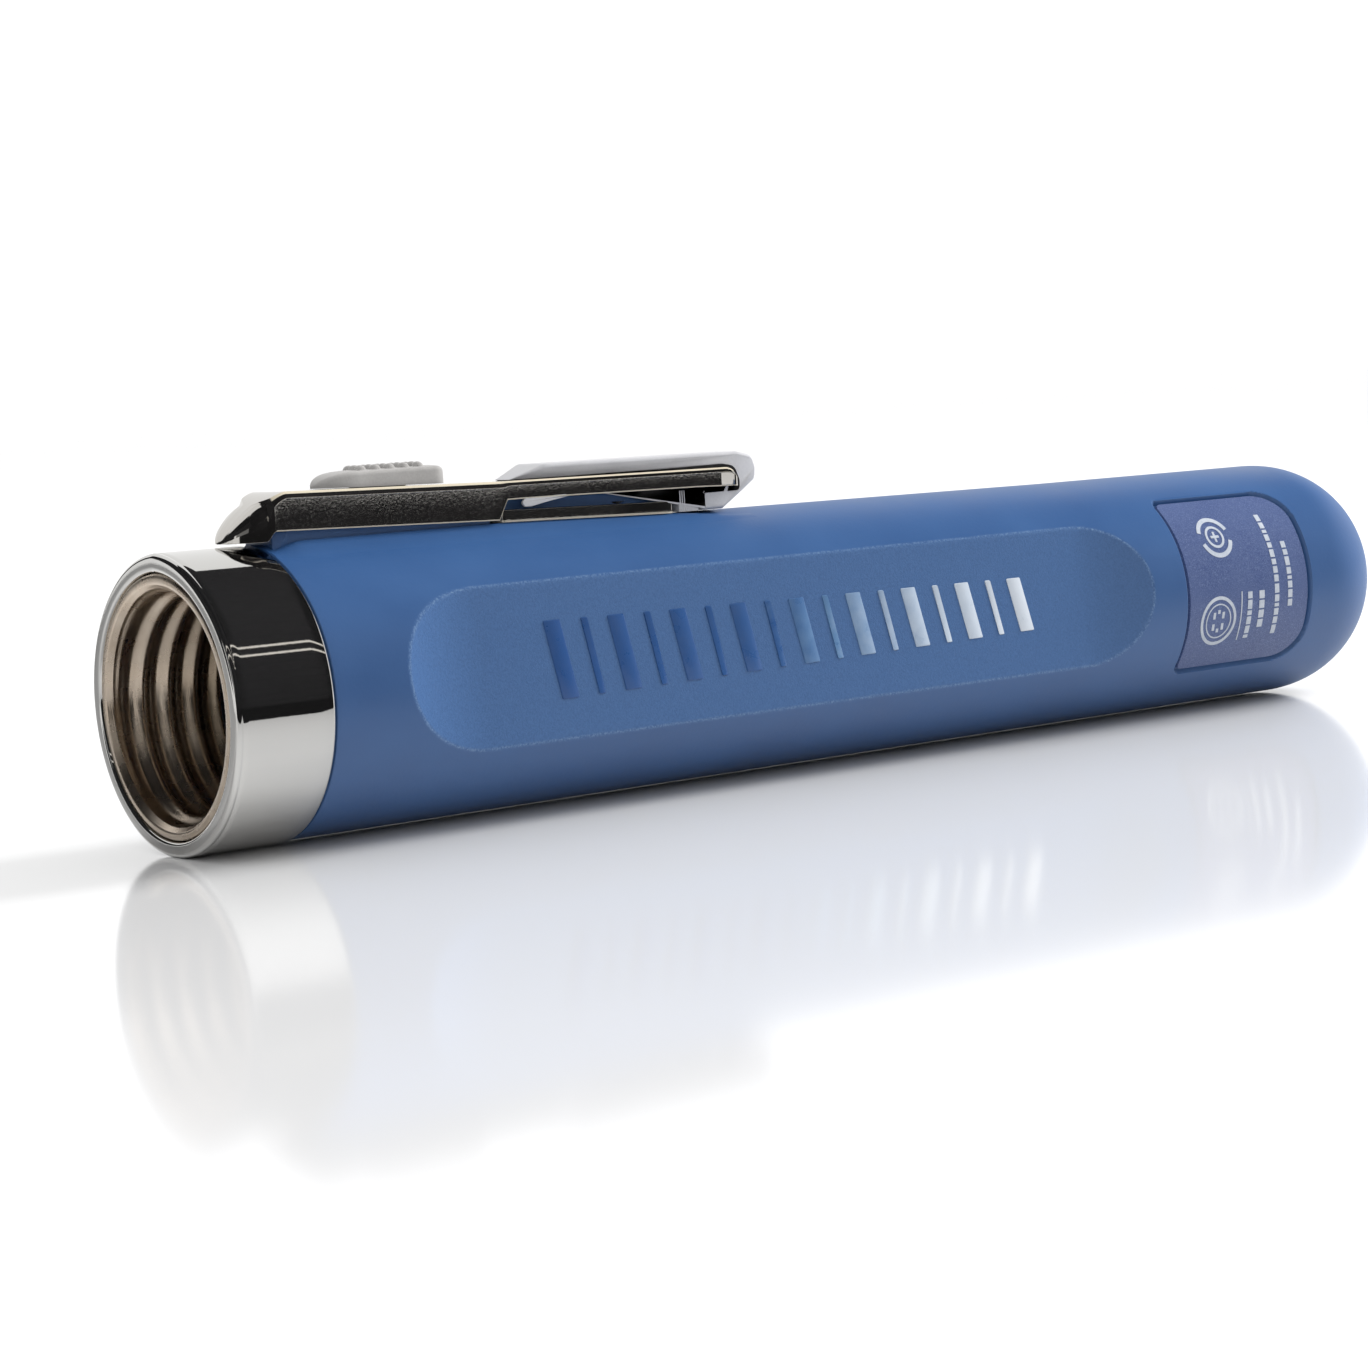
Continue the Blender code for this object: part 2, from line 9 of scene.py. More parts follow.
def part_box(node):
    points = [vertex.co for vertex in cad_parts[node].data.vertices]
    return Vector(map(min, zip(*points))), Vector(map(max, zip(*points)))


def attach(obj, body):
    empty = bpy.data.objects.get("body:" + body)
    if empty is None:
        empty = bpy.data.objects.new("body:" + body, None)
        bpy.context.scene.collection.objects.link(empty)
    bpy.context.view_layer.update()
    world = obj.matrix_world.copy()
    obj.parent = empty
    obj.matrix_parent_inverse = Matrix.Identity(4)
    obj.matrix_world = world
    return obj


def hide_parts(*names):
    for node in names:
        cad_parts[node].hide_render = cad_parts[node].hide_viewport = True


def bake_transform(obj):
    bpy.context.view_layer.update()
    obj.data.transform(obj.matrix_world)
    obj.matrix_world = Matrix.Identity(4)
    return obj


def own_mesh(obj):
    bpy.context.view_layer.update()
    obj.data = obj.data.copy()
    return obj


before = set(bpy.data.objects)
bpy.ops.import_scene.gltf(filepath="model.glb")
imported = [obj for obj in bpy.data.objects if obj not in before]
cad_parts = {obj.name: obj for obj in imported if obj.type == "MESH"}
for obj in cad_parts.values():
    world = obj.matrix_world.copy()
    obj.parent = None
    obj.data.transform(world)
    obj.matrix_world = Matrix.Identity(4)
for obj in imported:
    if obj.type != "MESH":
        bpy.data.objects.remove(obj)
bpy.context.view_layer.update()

# The handle lies along X with its threaded mouth at -X. Lengths below are in millimetres:
# x from the mouth, z from the handle's axis. Angles go round the axis, from the top towards -Y.
MM = 0.001
COLLAR_LOW, COLLAR_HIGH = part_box("collar")
MOUTH_X = COLLAR_LOW[0] / MM
COLLAR_R = (COLLAR_HIGH[1] - COLLAR_LOW[1]) / 2 / MM
COLLAR_LENGTH = (COLLAR_HIGH[0] - COLLAR_LOW[0]) / MM
AXIS_Z = COLLAR_LOW[2] / MM + COLLAR_R


def start_of(node):
    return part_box(node)[0][0] / MM - MOUTH_X


def end_of(node):
    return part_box(node)[1][0] / MM - MOUTH_X


def half_width_of(node):
    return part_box(node)[1][1] / MM


LENGTH = end_of("handle_sleeve")
LABEL_START, LABEL_END = start_of("rating_label"), end_of("rating_label")
INSERT_FRONT, INSERT_END = start_of("threaded_insert"), end_of("threaded_insert")
HOUSING_END = end_of("clip_housing")
ARM_END = end_of("clip_arm")
CLIP_HALF = half_width_of("clip_housing")
PAD_HALF = half_width_of("clip_pad")
BUTTON_HALF = half_width_of("switch_button")
RAIL_HALF = half_width_of("clip_rail")

# Handle tube
SLEEVE_FRONT = COLLAR_LENGTH + 0.05
SLEEVE_R = 10.27
DOME_CENTRE = LENGTH - SLEEVE_R
DOME_FULLNESS = 2.15
BORE_R = 7.6
BORE_END = 114.6
POCKET_R = 6.2
POCKET_END = 118.2
TAIL_SEAT_R = 9.15
KEEL_SPREAD = radians(42)
KEEL_POWER = 1.5
SLEEVE_KEEL = 0.55
KEEL_END = 85.0

# Side panels and label
PANEL_TILT = radians(7)
PANEL_FLOOR = 8.46
PANEL_START = 14.0
PANEL_END = 87.9
RUNOUT_R = 15.7
SIDE = pi / 2 - PANEL_TILT
LABEL_HALF = radians(45) * SLEEVE_R     # half of the label's height, along the curve
LABEL_MARGIN = 0.3

# Clip and saddle
CLIP_WALL = 0.6
HOUSING_FRONT = 8.5
SADDLE_END = 44.2
SADDLE_FADE = 51.0       # where the saddle has sunk into the tube
SADDLE_HALF = 2.2
EDGE_Z, EDGE_SLOPE = 11.69, 0.029       # the housing's lower edge
TOP_START, TOP_Z, TOP_SLOPE = 9.4, 14.43, 0.0237
ARM_TOP_Z, ARM_TOP_SLOPE = 13.99, 0.009
SADDLE_FRONT_Z, SADDLE_REAR_Z = 10.3, 10.1
FILLET_REACH = 2.2
BURIED_Z = 8.8          # a height inside the tube's wall
RAIL_BOTTOM = 10.95
RAIL_HEIGHT = 0.95
RAIL_SLOPE = 0.0246


def at(x, y, z):
    """A place on the handle, in metres."""
    return Vector(((MOUTH_X + x) * MM, y * MM, (AXIS_Z + z) * MM))


def around(x, r, angle):
    return at(x, -r * sin(angle), r * cos(angle))


def clip_edge(x):
    """Height of the clip housing's lower edge."""
    return EDGE_Z - EDGE_SLOPE * (x - HOUSING_FRONT)


def clip_top(x):
    """Height of the clip's top face."""
    if x < HOUSING_END:
        return TOP_Z - TOP_SLOPE * (x - TOP_START)
    return ARM_TOP_Z - ARM_TOP_SLOPE * (x - HOUSING_END)


def rail_bottom(x):
    """Height of the rail's underside, which sinks a little towards the rear."""
    return RAIL_BOTTOM - RAIL_SLOPE * max(0.0, x - HOUSING_END)


def mix(a, b, share):
    return a + (b - a) * share


def ease(value, low, high):
    """A smooth step from 0 at low to 1 at high."""
    t = np.clip((value - low) / (high - low), 0.0, 1.0)
    return t * t * (3 - 2 * t)


# ---------------------------------------------------------------- meshes

def mesh_from(name, bm, sharp):
    bmesh.ops.remove_doubles(bm, verts=bm.verts, dist=2e-7)
    bmesh.ops.dissolve_degenerate(bm, edges=bm.edges, dist=1e-7)
    bmesh.ops.recalc_face_normals(bm, faces=bm.faces)
    mesh = bpy.data.meshes.new(name)
    bm.to_mesh(mesh)
    bm.free()
    mesh.shade_smooth()
    mesh.set_sharp_from_angle(angle=radians(sharp))
    return mesh


def add_piece(name, bm, sharp, body, replaced=()):
    piece = bpy.data.objects.new(name, mesh_from(name, bm, sharp))
    bpy.context.scene.collection.objects.link(piece)
    if body:
        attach(piece, body)
    if replaced:
        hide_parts(*replaced)
    return piece


def skin(bm, rings, closed=False):
    """Faces between neighbouring rings of vertices; a ring of one vertex is a pole."""
    pairs = list(zip(rings, rings[1:]))
    if closed:
        pairs.append((rings[-1], rings[0]))
    for low, high in pairs:
        count = max(len(low), len(high))
        for i in range(count):
            j = (i + 1) % count
            corners = [low[i % len(low)], low[j % len(low)], high[j % len(high)], high[i % len(high)]]
            bm.faces.new(list(dict.fromkeys(corners)))


def skin_capped(bm, rings):
    """Faces between neighbouring rings, and one over each end."""
    skin(bm, rings)
    bm.faces.new(rings[0])
    bm.faces.new(rings[-1])


def polar_ring(bm, x, radii):
    """A ring of vertices round the axis, from one radius for each step."""
    steps = len(radii)
    return [bm.verts.new(around(x, radii[i], 2 * pi * i / steps)) for i in range(steps)]


def rounded(outline, radius, steps=5, even=False):
    """An outline of 2-D points with every corner rounded; a radius may be given for each corner.

    With even set, straight corners get as many points as bent ones.
    """
    radii = radius if isinstance(radius, (list, tuple)) else [radius] * len(outline)
    points = []
    for i, here in enumerate(outline):
        here = np.array(here, float)
        before = np.array(outline[i - 1], float) - here
        after = np.array(outline[(i + 1) % len(outline)], float) - here
        reach_before, reach_after = np.linalg.norm(before), np.linalg.norm(after)
        before, after = before / reach_before, after / reach_after
        half = acos(float(np.clip(before @ after, -1, 1))) / 2
        if radii[i] <= 0 or (half > radians(88) and not even):
            points.append(tuple(here))
            continue
        cut = min(radii[i] / np.tan(min(half, radians(89.5))), 0.48 * reach_before, 0.48 * reach_after)
        start, end = here + before * cut, here + after * cut
        for k in range(steps + 1):
            t = k / steps
            points.append(tuple((1 - t) ** 2 * start + 2 * t * (1 - t) * here + t * t * end))
    return points


def upright(x, z, y):
    return at(x, y, z)


def rounded_prism(bm, outline, half_width, edge, place, steps=4, share=None):
    """An outline pushed out to both sides, with its long edges rounded; place(a, b, across) gives a point.

    share(a) lessens the rounding where the outline is thin.
    """
    outline = np.array(outline, float)
    shares = np.array([[share(a) if share else 1.0] for a, b in outline])
    following, before = np.roll(outline, -1, axis=0), np.roll(outline, 1, axis=0)
    tangent = following - before
    tangent /= np.linalg.norm(tangent, axis=1)[:, None]
    area = np.sum(outline[:, 0] * following[:, 1] - following[:, 0] * outline[:, 1])
    inward = np.stack([-tangent[:, 1], tangent[:, 0]], 1) * (1 if area > 0 else -1)
    rings = []
    shrink = [(1 - sin(0.5 * pi * i / steps), 1 - cos(0.5 * pi * i / steps)) for i in range(steps + 1)]
    sections = [(-half_width + edge * back, edge * inset) for inset, back in shrink]
    sections += [(-across, inset) for across, inset in reversed(sections)]
    for across, inset in sections:
        moved = outline + inward * inset * shares
        rings.append([bm.verts.new(place(a, b, across)) for a, b in moved])
    skin_capped(bm, rings)


# ---------------------------------------------------------------- handle tube

def keel_rise(angle, height):
    """Extra radius of the low keel along the top, at an angle from the top."""
    turn = min(angle, 2 * pi - angle)
    return height * max(0.0, 1.0 - turn / KEEL_SPREAD) ** KEEL_POWER


def sleeve_radius(x):
    """Radius of the tube, with a softened front edge and a full dome at the rear."""
    if x > DOME_CENTRE:
        reach = min(1.0, (x - DOME_CENTRE) / SLEEVE_R)
        return SLEEVE_R * (1.0 - reach ** DOME_FULLNESS) ** (1.0 / DOME_FULLNESS)
    edge = 0.12
    into = min(x - SLEEVE_FRONT, edge)
    return SLEEVE_R - edge + (edge ** 2 - (edge - into) ** 2) ** 0.5


def panel_height(x):
    """Distance of the panel's cut from the axis: flat, then rising on an arc at both ends."""
    reach = (RUNOUT_R ** 2 - (RUNOUT_R - (SLEEVE_R - PANEL_FLOOR)) ** 2) ** 0.5
    along = max(PANEL_START + reach - x, x - (PANEL_END - reach), 0.0)
    if along >= RUNOUT_R:
        return SLEEVE_R + 9
    return PANEL_FLOOR + RUNOUT_R - (RUNOUT_R ** 2 - along ** 2) ** 0.5


def soft_min(a, b, width):
    """The smaller of two lengths, blended over a width."""
    h = np.clip(0.5 + 0.5 * (b - a) / width, 0.0, 1.0)
    return mix(b, a, h) - width * h * (1 - h)


def label_distance(x, along, margin):
    """Signed distance from the label's outline, whose rear corners are rounder than the front ones."""
    middle = (LABEL_START + LABEL_END) / 2
    half_x = (LABEL_END - LABEL_START) / 2 + margin
    half_along = LABEL_HALF + margin
    radius = np.where(x > middle, 3.2, 0.7) + margin
    dx = np.abs(x - middle) - (half_x - radius)
    dy = np.abs(along) - (half_along - radius)
    outside = np.hypot(np.maximum(dx, 0), np.maximum(dy, 0))
    return outside + np.minimum(np.maximum(dx, dy), 0) - radius


def outer_radius(x, angles):
    """The tube's outer radius at one station, with keel, side panels and label pocket."""
    keel = SLEEVE_KEEL * max(0.0, 1.0 - x / KEEL_END)
    plain = sleeve_radius(x) + np.array([keel_rise(a, keel) for a in angles])
    radii = plain
    for side in (SIDE, 2 * pi - SIDE):
        facing = np.cos(angles - side)
        cut = np.where(facing > 0.3, panel_height(x) / np.maximum(facing, 0.3), 99.0)
        radii = soft_min(radii, cut, 0.05)
    pocket = label_distance(x, (angles - SIDE) * SLEEVE_R, LABEL_MARGIN)
    return radii - 0.5 * (1 - ease(pocket, -0.1, 0.06))


def stations_along(marks):
    """Places from (start, end, step) spans, each span evenly divided."""
    places = []
    for low, high, step in marks:
        count = ceil((high - low) / step)
        places += [low + (high - low) * i / count for i in range(count)]
    return places + [marks[-1][1]]


def make_sleeve():
    steps = 448
    angles = np.arange(steps) * 2 * pi / steps
    spans = [(SLEEVE_FRONT, SLEEVE_FRONT + 0.12, 0.03), (SLEEVE_FRONT + 0.12, 13.5, 0.7)]
    spans += [(13.5, 22.0, 0.16), (22.0, 80.0, 1.0), (80.0, 88.5, 0.16), (88.5, LABEL_START - 0.6, 0.5)]
    spans += [(LABEL_START - 0.6, LABEL_START + 1.2, 0.07), (LABEL_START + 1.2, LABEL_END - 3.4, 0.6)]
    spans += [(LABEL_END - 3.4, LABEL_END + 0.6, 0.1), (LABEL_END + 0.6, DOME_CENTRE, 0.6)]
    places = stations_along(spans)
    dome = 28
    places += [DOME_CENTRE + SLEEVE_R * sin(0.5 * pi * i / dome) for i in range(1, dome)]
    bm = bmesh.new()
    inner = [(BORE_END, POCKET_R), (BORE_END, BORE_R), (11.3, BORE_R), (11.3, TAIL_SEAT_R)]
    rings = [[bm.verts.new(at(POCKET_END, 0, 0))]]
    rings.append(polar_ring(bm, POCKET_END, [POCKET_R] * steps))
    rings += [polar_ring(bm, x, [r] * steps) for x, r in inner]
    rings.append(polar_ring(bm, SLEEVE_FRONT, [TAIL_SEAT_R] * steps))
    rings += [polar_ring(bm, x, outer_radius(x, angles)) for x in places]
    rings.append([bm.verts.new(at(LENGTH, 0, 0))])
    skin(bm, rings)
    return add_piece("sleeve_skin", bm, 50, "handle", ["handle_sleeve"])


def make_saddle():
    """The raised seat under the clip, filleted into the tube; blocks fill the clip and the gap under the arm."""
    front, step = SLEEVE_FRONT + 0.1, HOUSING_END - 1.2
    foot = SADDLE_HALF + FILLET_REACH
    bm = bmesh.new()
    rings = []
    for x in stations_along([(front, 11.0, 0.25), (11.0, SADDLE_END, 1.0), (SADDLE_END, SADDLE_FADE, 0.5)]):
        keel = SLEEVE_KEEL * max(0.0, 1.0 - x / KEEL_END)
        top = mix(SADDLE_FRONT_Z, rail_bottom(x) - 0.03, float(ease(x, front, 10.8)))
        top = mix(top, SADDLE_REAR_Z, float(ease(x, SADDLE_END, SADDLE_FADE)))
        side = []
        for i in range(9):
            y = mix(foot, SADDLE_HALF, i / 8)
            turn = asin(y / SLEEVE_R)
            r = SLEEVE_R + keel_rise(turn, keel)
            tube = (r ** 2 - y ** 2) ** 0.5
            side.append((y, mix(tube - 0.03, top, (i / 8) ** 3)))
        section = [(-foot, BURIED_Z)] + [(-y, z) for y, z in side] + side[::-1] + [(foot, BURIED_Z)]
        rings.append([bm.verts.new(at(x, y, z)) for y, z in section])
    skin_capped(bm, rings)
    inner = CAVITY[0] + 0.1
    inside = [(inner, 9.5), (step, 9.5)]
    inside += [(step, clip_edge(step) + 0.2), (inner, clip_edge(inner) + 0.2)]
    block = [(8.5, 9.5), (inner + 0.1, 9.5)]
    block += [(inner + 0.1, clip_edge(inner) - 0.04), (8.5, clip_edge(8.5) - 0.04)]
    core = [(HOUSING_END + 0.3, 10.0), (44.1, 10.0), (44.1, 12.39), (HOUSING_END + 0.3, 12.56)]
    for outline, half in ((inside, 1.9), (block, 1.9), (core, 1.2)):
        rounded_prism(bm, rounded(outline, 0.1, 3), half, 0.08, upright)
    return add_piece("saddle_skin", bm, 35, "handle")


# ---------------------------------------------------------------- collar and insert

RIM_R = 9.32            # inner edge of the collar's face


def make_collar():
    """The polished ring, with rounded lips and a fine groove behind the front lip."""
    steps = 288
    keels = np.array([keel_rise(2 * pi * i / steps, 1.0) for i in range(steps)])
    lip = 0.34
    profile = [(COLLAR_LENGTH, RIM_R, 0.0), (COLLAR_LENGTH, COLLAR_R - 0.2, 0.4)]
    profile += [(COLLAR_LENGTH - 0.03, COLLAR_R - 0.15, 0.4), (COLLAR_LENGTH - 0.24, COLLAR_R - 0.02, 0.4)]
    profile += [(COLLAR_LENGTH - 0.3, COLLAR_R, 0.4)]
    profile += [(x, COLLAR_R, 0.4) for x in (6.5, 5.0, 3.5, 2.0, 1.0, 0.62)]
    profile += [(0.56, COLLAR_R - 0.035, 0.4), (0.48, COLLAR_R - 0.035, 0.4), (0.42, COLLAR_R, 0.4)]
    for i in range(11):
        turn = 0.5 * pi * i / 10
        profile.append((lip - lip * sin(turn), COLLAR_R - lip + lip * cos(turn), 0.4))
    profile += [(0.0, RIM_R + 0.25, 0.3), (0.02, RIM_R + 0.1, 0.22), (0.12, RIM_R, 0.2), (1.2, RIM_R, 0.2)]
    profile += [(1.6, RIM_R, 0.0)]
    bm = bmesh.new()
    rings = [polar_ring(bm, x, r + keels * share) for x, r, share in profile]
    skin(bm, rings, closed=True)
    return add_piece("collar_skin", bm, 50, "handle", ["collar"])


THREAD_ROOT_R = 8.3
THREAD_CREST_R = 7.72
THREAD_PITCH = 2.1
THREAD_START = 0.75
THREAD_END = 9.6


def thread_radius(x, angle):
    """Bore of the insert: a chamfered mouth, then a rounded helical thread."""
    chamfer = 0.35 * max(0.0, 1.0 - (x - INSERT_FRONT) / 0.4)
    turn = (x / THREAD_PITCH - angle / (2 * pi)) % 1.0
    crest = 0.5 - 0.5 * cos(2 * pi * turn)
    crest = crest ** 1.6 * (1.35 - 0.35 * crest)
    fade = min(1.0, max(0.0, (x - THREAD_START) / 1.1), max(0.0, (THREAD_END - x) / 0.9))
    return THREAD_ROOT_R + chamfer - (THREAD_ROOT_R - THREAD_CREST_R) * fade * crest


def make_insert():
    steps = 192
    angles = [2 * pi * i / steps for i in range(steps)]
    bm = bmesh.new()
    spans = [(INSERT_FRONT, 0.6, 0.06), (0.6, THREAD_END + 0.3, 0.1), (THREAD_END + 0.3, INSERT_END, 0.5)]
    inner = stations_along(spans)
    rings = [polar_ring(bm, x, [thread_radius(x, a) for a in angles]) for x in inner]
    outer = [(INSERT_END, 8.7), (10.3, 8.7), (10.3, 8.4), (9.1, 8.4), (9.1, 8.7), (7.95, 8.7), (7.95, 9.22)]
    rings += [polar_ring(bm, x, [r] * steps) for x, r in outer]
    keels = np.array([keel_rise(a, 1.0) for a in angles])
    face = [(1.2, 9.22, 0.18), (INSERT_FRONT + 0.16, 9.22, 0.18), (INSERT_FRONT + 0.05, 9.17, 0.18)]
    face += [(INSERT_FRONT, 9.06, 0.16), (INSERT_FRONT, 8.86, 0.1)]
    rings += [polar_ring(bm, x, r + keels * share) for x, r, share in face]
    skin(bm, rings, closed=True)
    return add_piece("insert_skin", bm, 60, "handle", ["threaded_insert"])


# ---------------------------------------------------------------- clip, pad and rail

NOSE_START = 5.34
NOSE_END = 9.6
NOSE_LOW = 11.0
NOSE_PLAN_END = 8.5     # where the nose reaches the full width in plan
CAVITY = (9.6, 26.8)
SLOT = (13.3, 20.9)
SLOT_HALF = 1.05
SLANT = 0.8             # length of the housing's slanted rear edge
TUCK = (ARM_END - 2.0, ARM_END - 0.75)   # where the arm's sides lean in towards their lower edge
ARM_LOW = ((HOUSING_END - SLANT, 11.14), (HOUSING_END, 12.61), (29.8, 12.62), (46.1, 12.43), (ARM_END, 12.3))


def bulge(share, power):
    """A superellipse's height, 1 at share 0 and 0 at share 1."""
    return max(0.0, 1.0 - min(1.0, max(0.0, share)) ** power) ** (1.0 / power)


def clip_width(x):
    """Half width: an elliptical nose, straight sides and softened end corners."""
    nose = bulge((NOSE_PLAN_END - x) / (NOSE_PLAN_END - NOSE_START), 2.0)
    rear = bulge((x - (ARM_END - 0.6)) / 0.9, 2.0)
    return CLIP_HALF * nose * rear


def clip_crown(x):
    """The clip's top in profile: a hooked nose, a straight back and a rounded end."""
    if x < NOSE_END:
        rise = bulge((NOSE_END - x) / (NOSE_END - NOSE_START), 1.36)
        return NOSE_LOW + (clip_top(NOSE_END) - NOSE_LOW) * rise
    radius = 1.35
    rear = max(0.0, x - (ARM_END - radius))
    return clip_top(x) - (radius - (radius ** 2 - rear ** 2) ** 0.5)


def clip_low(x):
    if x < HOUSING_END - SLANT:
        return mix(NOSE_LOW, clip_edge(x), float(ease(x, 7.7, 8.55)))
    return float(np.interp(x, *zip(*ARM_LOW)))


def clip_section(x, hollow):
    """The clip's outline across the handle, outside then inside, with a painted highlight share for each point.

    The number of points is always the same. The flat side lies a little back between a bead
    under the bevel and a bead along the lower edge, and both beads and the top of the bevel carry a painted
    highlight line.
    """
    half, top, low = clip_width(x), clip_crown(x), clip_low(x)
    shown = float(ease(x, NOSE_PLAN_END - 0.05, NOSE_PLAN_END + 0.1))
    plate = shown * float(1 - ease(x, TUCK[0] - 0.06, TUCK[0]))
    nose = 1 - float(ease(x, 7.6, NOSE_PLAN_END + 0.1))
    tall = max(0.05, top - low)
    arm = float(ease(x, HOUSING_END - 0.4, HOUSING_END + 0.4))
    bevel = min(mix(1.0, mix(0.46, 0.34, arm), float(ease(x, 7.2, 9.2))), half * 0.45, tall * 0.42)
    bead = min(0.07, 0.07 * tall)
    sunk = 0.04 * plate
    inside = max(0.3 * half, half - CLIP_WALL)
    ceiling = top - CLIP_WALL if hollow else low + 0.02
    slot = min(SLOT_HALF, mix(0.45, 0.1, nose) * half)
    bevel_y = mix(bevel, 0.8 * half, nose)
    bevel_z = mix(bevel, 0.62 * tall, nose)

    def on_bevel(t):
        """A point on the bevel, which is flat on the plates and full and round on the nose."""
        y = -half + bevel_y * (t * t + t * (1 - t) * (1 - nose))
        z = top - bevel_z * ((1 - t) ** 2 + t * (1 - t) * (1 - nose))
        return y, z

    tuck = 0.2 * float(ease(x, TUCK[0], TUCK[0] + 0.06) * (1 - ease(x, TUCK[1], TUCK[1] + 0.07)))
    # The last number is the share of painted highlight: a light line painted on the beads and the top of the
    # bevel.
    left = [
        (-half + tuck, low, 0.02, 0.6), (-half + tuck, low + bead, 0.01, 0.6),
        (-half + max(sunk, 0.9 * tuck), low + bead + 0.03, 0.01, 0),
        (-half + sunk, top - bevel_z - bead, 0.01, 0), (-half, top - bevel_z - bead + 0.03, 0.01, 0.4),
        (*on_bevel(0.0), 0.01, 0.4), (*on_bevel(0.05), 0.01, 0), (*on_bevel(0.2), 0.01, 0),
        (*on_bevel(0.4), 0.01, 0), (*on_bevel(0.6), 0.01, 0),
        (*on_bevel(0.66), 0.01, 1), (*on_bevel(0.83), 0.01, 1),
        (*on_bevel(1.0), 0.02, 1), (-half + bevel_y + 0.04, top, 0.01, 0), (-slot, top, 0, 0),
    ]
    back = [(inside, low, 0.02, 0.3), (inside, ceiling, 0.1 if hollow else 0.005, 0), (slot, ceiling, 0, 0)]
    corners = left + [(-y, z, r, mark) for y, z, r, mark in reversed(left)]
    corners += back + [(-y, z, r, mark) for y, z, r, mark in reversed(back)]
    steps = 3
    painted_glint = []
    for y, z, r, mark in corners:
        painted_glint += [mark * shown] * (steps + 1 if r > 0 else 1)
    outline = [(y, z, r) for y, z, r, mark in corners]
    points = rounded([(y, z) for y, z, r in outline], [r for y, z, r in outline], steps, even=True)
    return [(y, z, mark, 1 - plate) for (y, z), mark in zip(points, painted_glint)]


def make_clip():
    """Housing and arm in one springy sheet, which bends where the arm leaves the housing."""
    slant = HOUSING_END - SLANT
    marks = [(NOSE_START + 0.005, 5.6, 0.04), (5.6, 7.7, 0.12), (7.7, 8.7, 0.05), (8.7, CAVITY[0], 0.15)]
    marks += [(CAVITY[0], SLOT[0], 0.6), (SLOT[0], SLOT[1], 0.95), (SLOT[1], CAVITY[1], 0.8)]
    marks += [(CAVITY[1], slant, 0.25), (slant, HOUSING_END, 0.08), (HOUSING_END, HOUSING_END + 0.5, 0.1)]
    marks += [(HOUSING_END + 0.5, TUCK[0] - 0.12, 0.45), (TUCK[0] - 0.12, TUCK[0] + 0.06, 0.03)]
    marks += [(TUCK[0] + 0.06, TUCK[1], 0.15), (TUCK[1], ARM_END - 0.4, 0.07)]
    marks += [(ARM_END - 0.4, ARM_END - 0.01, 0.04)]
    bm = bmesh.new()
    # A painted highlight share for each vertex, read by the chrome material.
    painted_glint = bm.verts.layers.float.new("painted_glint")
    plain = bm.verts.layers.float.new("plain")
    rings, hollows = [], []
    for x in stations_along(marks):
        states = [CAVITY[0] <= x <= CAVITY[1]]
        if abs(x - CAVITY[0]) < 1e-6:
            states = [False, True]
        elif abs(x - CAVITY[1]) < 1e-6:
            states = [True, False]
        for hollow in states:
            ring = []
            for y, z, mark, smooth in clip_section(x, hollow):
                ring.append(bm.verts.new(at(x, y, z)))
                ring[-1][painted_glint] = mark
                ring[-1][plain] = smooth
            rings.append(ring)
            hollows.append(x)
    count = len(rings[0])
    middle = rings[min(range(len(rings)), key=lambda i: abs(hollows[i] - SLOT[0]))]
    at_slot = [i for i in range(count) if abs(abs(middle[i].co.y / MM) - SLOT_HALF) < 1e-4]
    top_left, top_right, under_right, under_left = at_slot
    for (low, high), x in zip(zip(rings, rings[1:]), hollows):
        open_here = SLOT[0] - 1e-6 <= x < SLOT[1] - 1e-6
        for i in range(count):
            if open_here and i in (top_left, under_right):
                continue
            j = (i + 1) % count
            bm.faces.new((low[i], low[j], high[j], high[i]))
        if open_here:
            bm.faces.new((low[top_left], high[top_left], high[under_left], low[under_left]))
            bm.faces.new((low[top_right], high[top_right], high[under_right], low[under_right]))
    for x in SLOT:
        ring = rings[min(range(len(rings)), key=lambda i: abs(hollows[i] - x))]
        bm.faces.new((ring[top_left], ring[top_right], ring[under_right], ring[under_left]))
    bm.faces.new(rings[0])
    bm.faces.new(rings[-1])
    clip = add_piece("clip_skin", bm, 25, None, ["clip_housing", "clip_arm"])
    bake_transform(clip)
    return clip


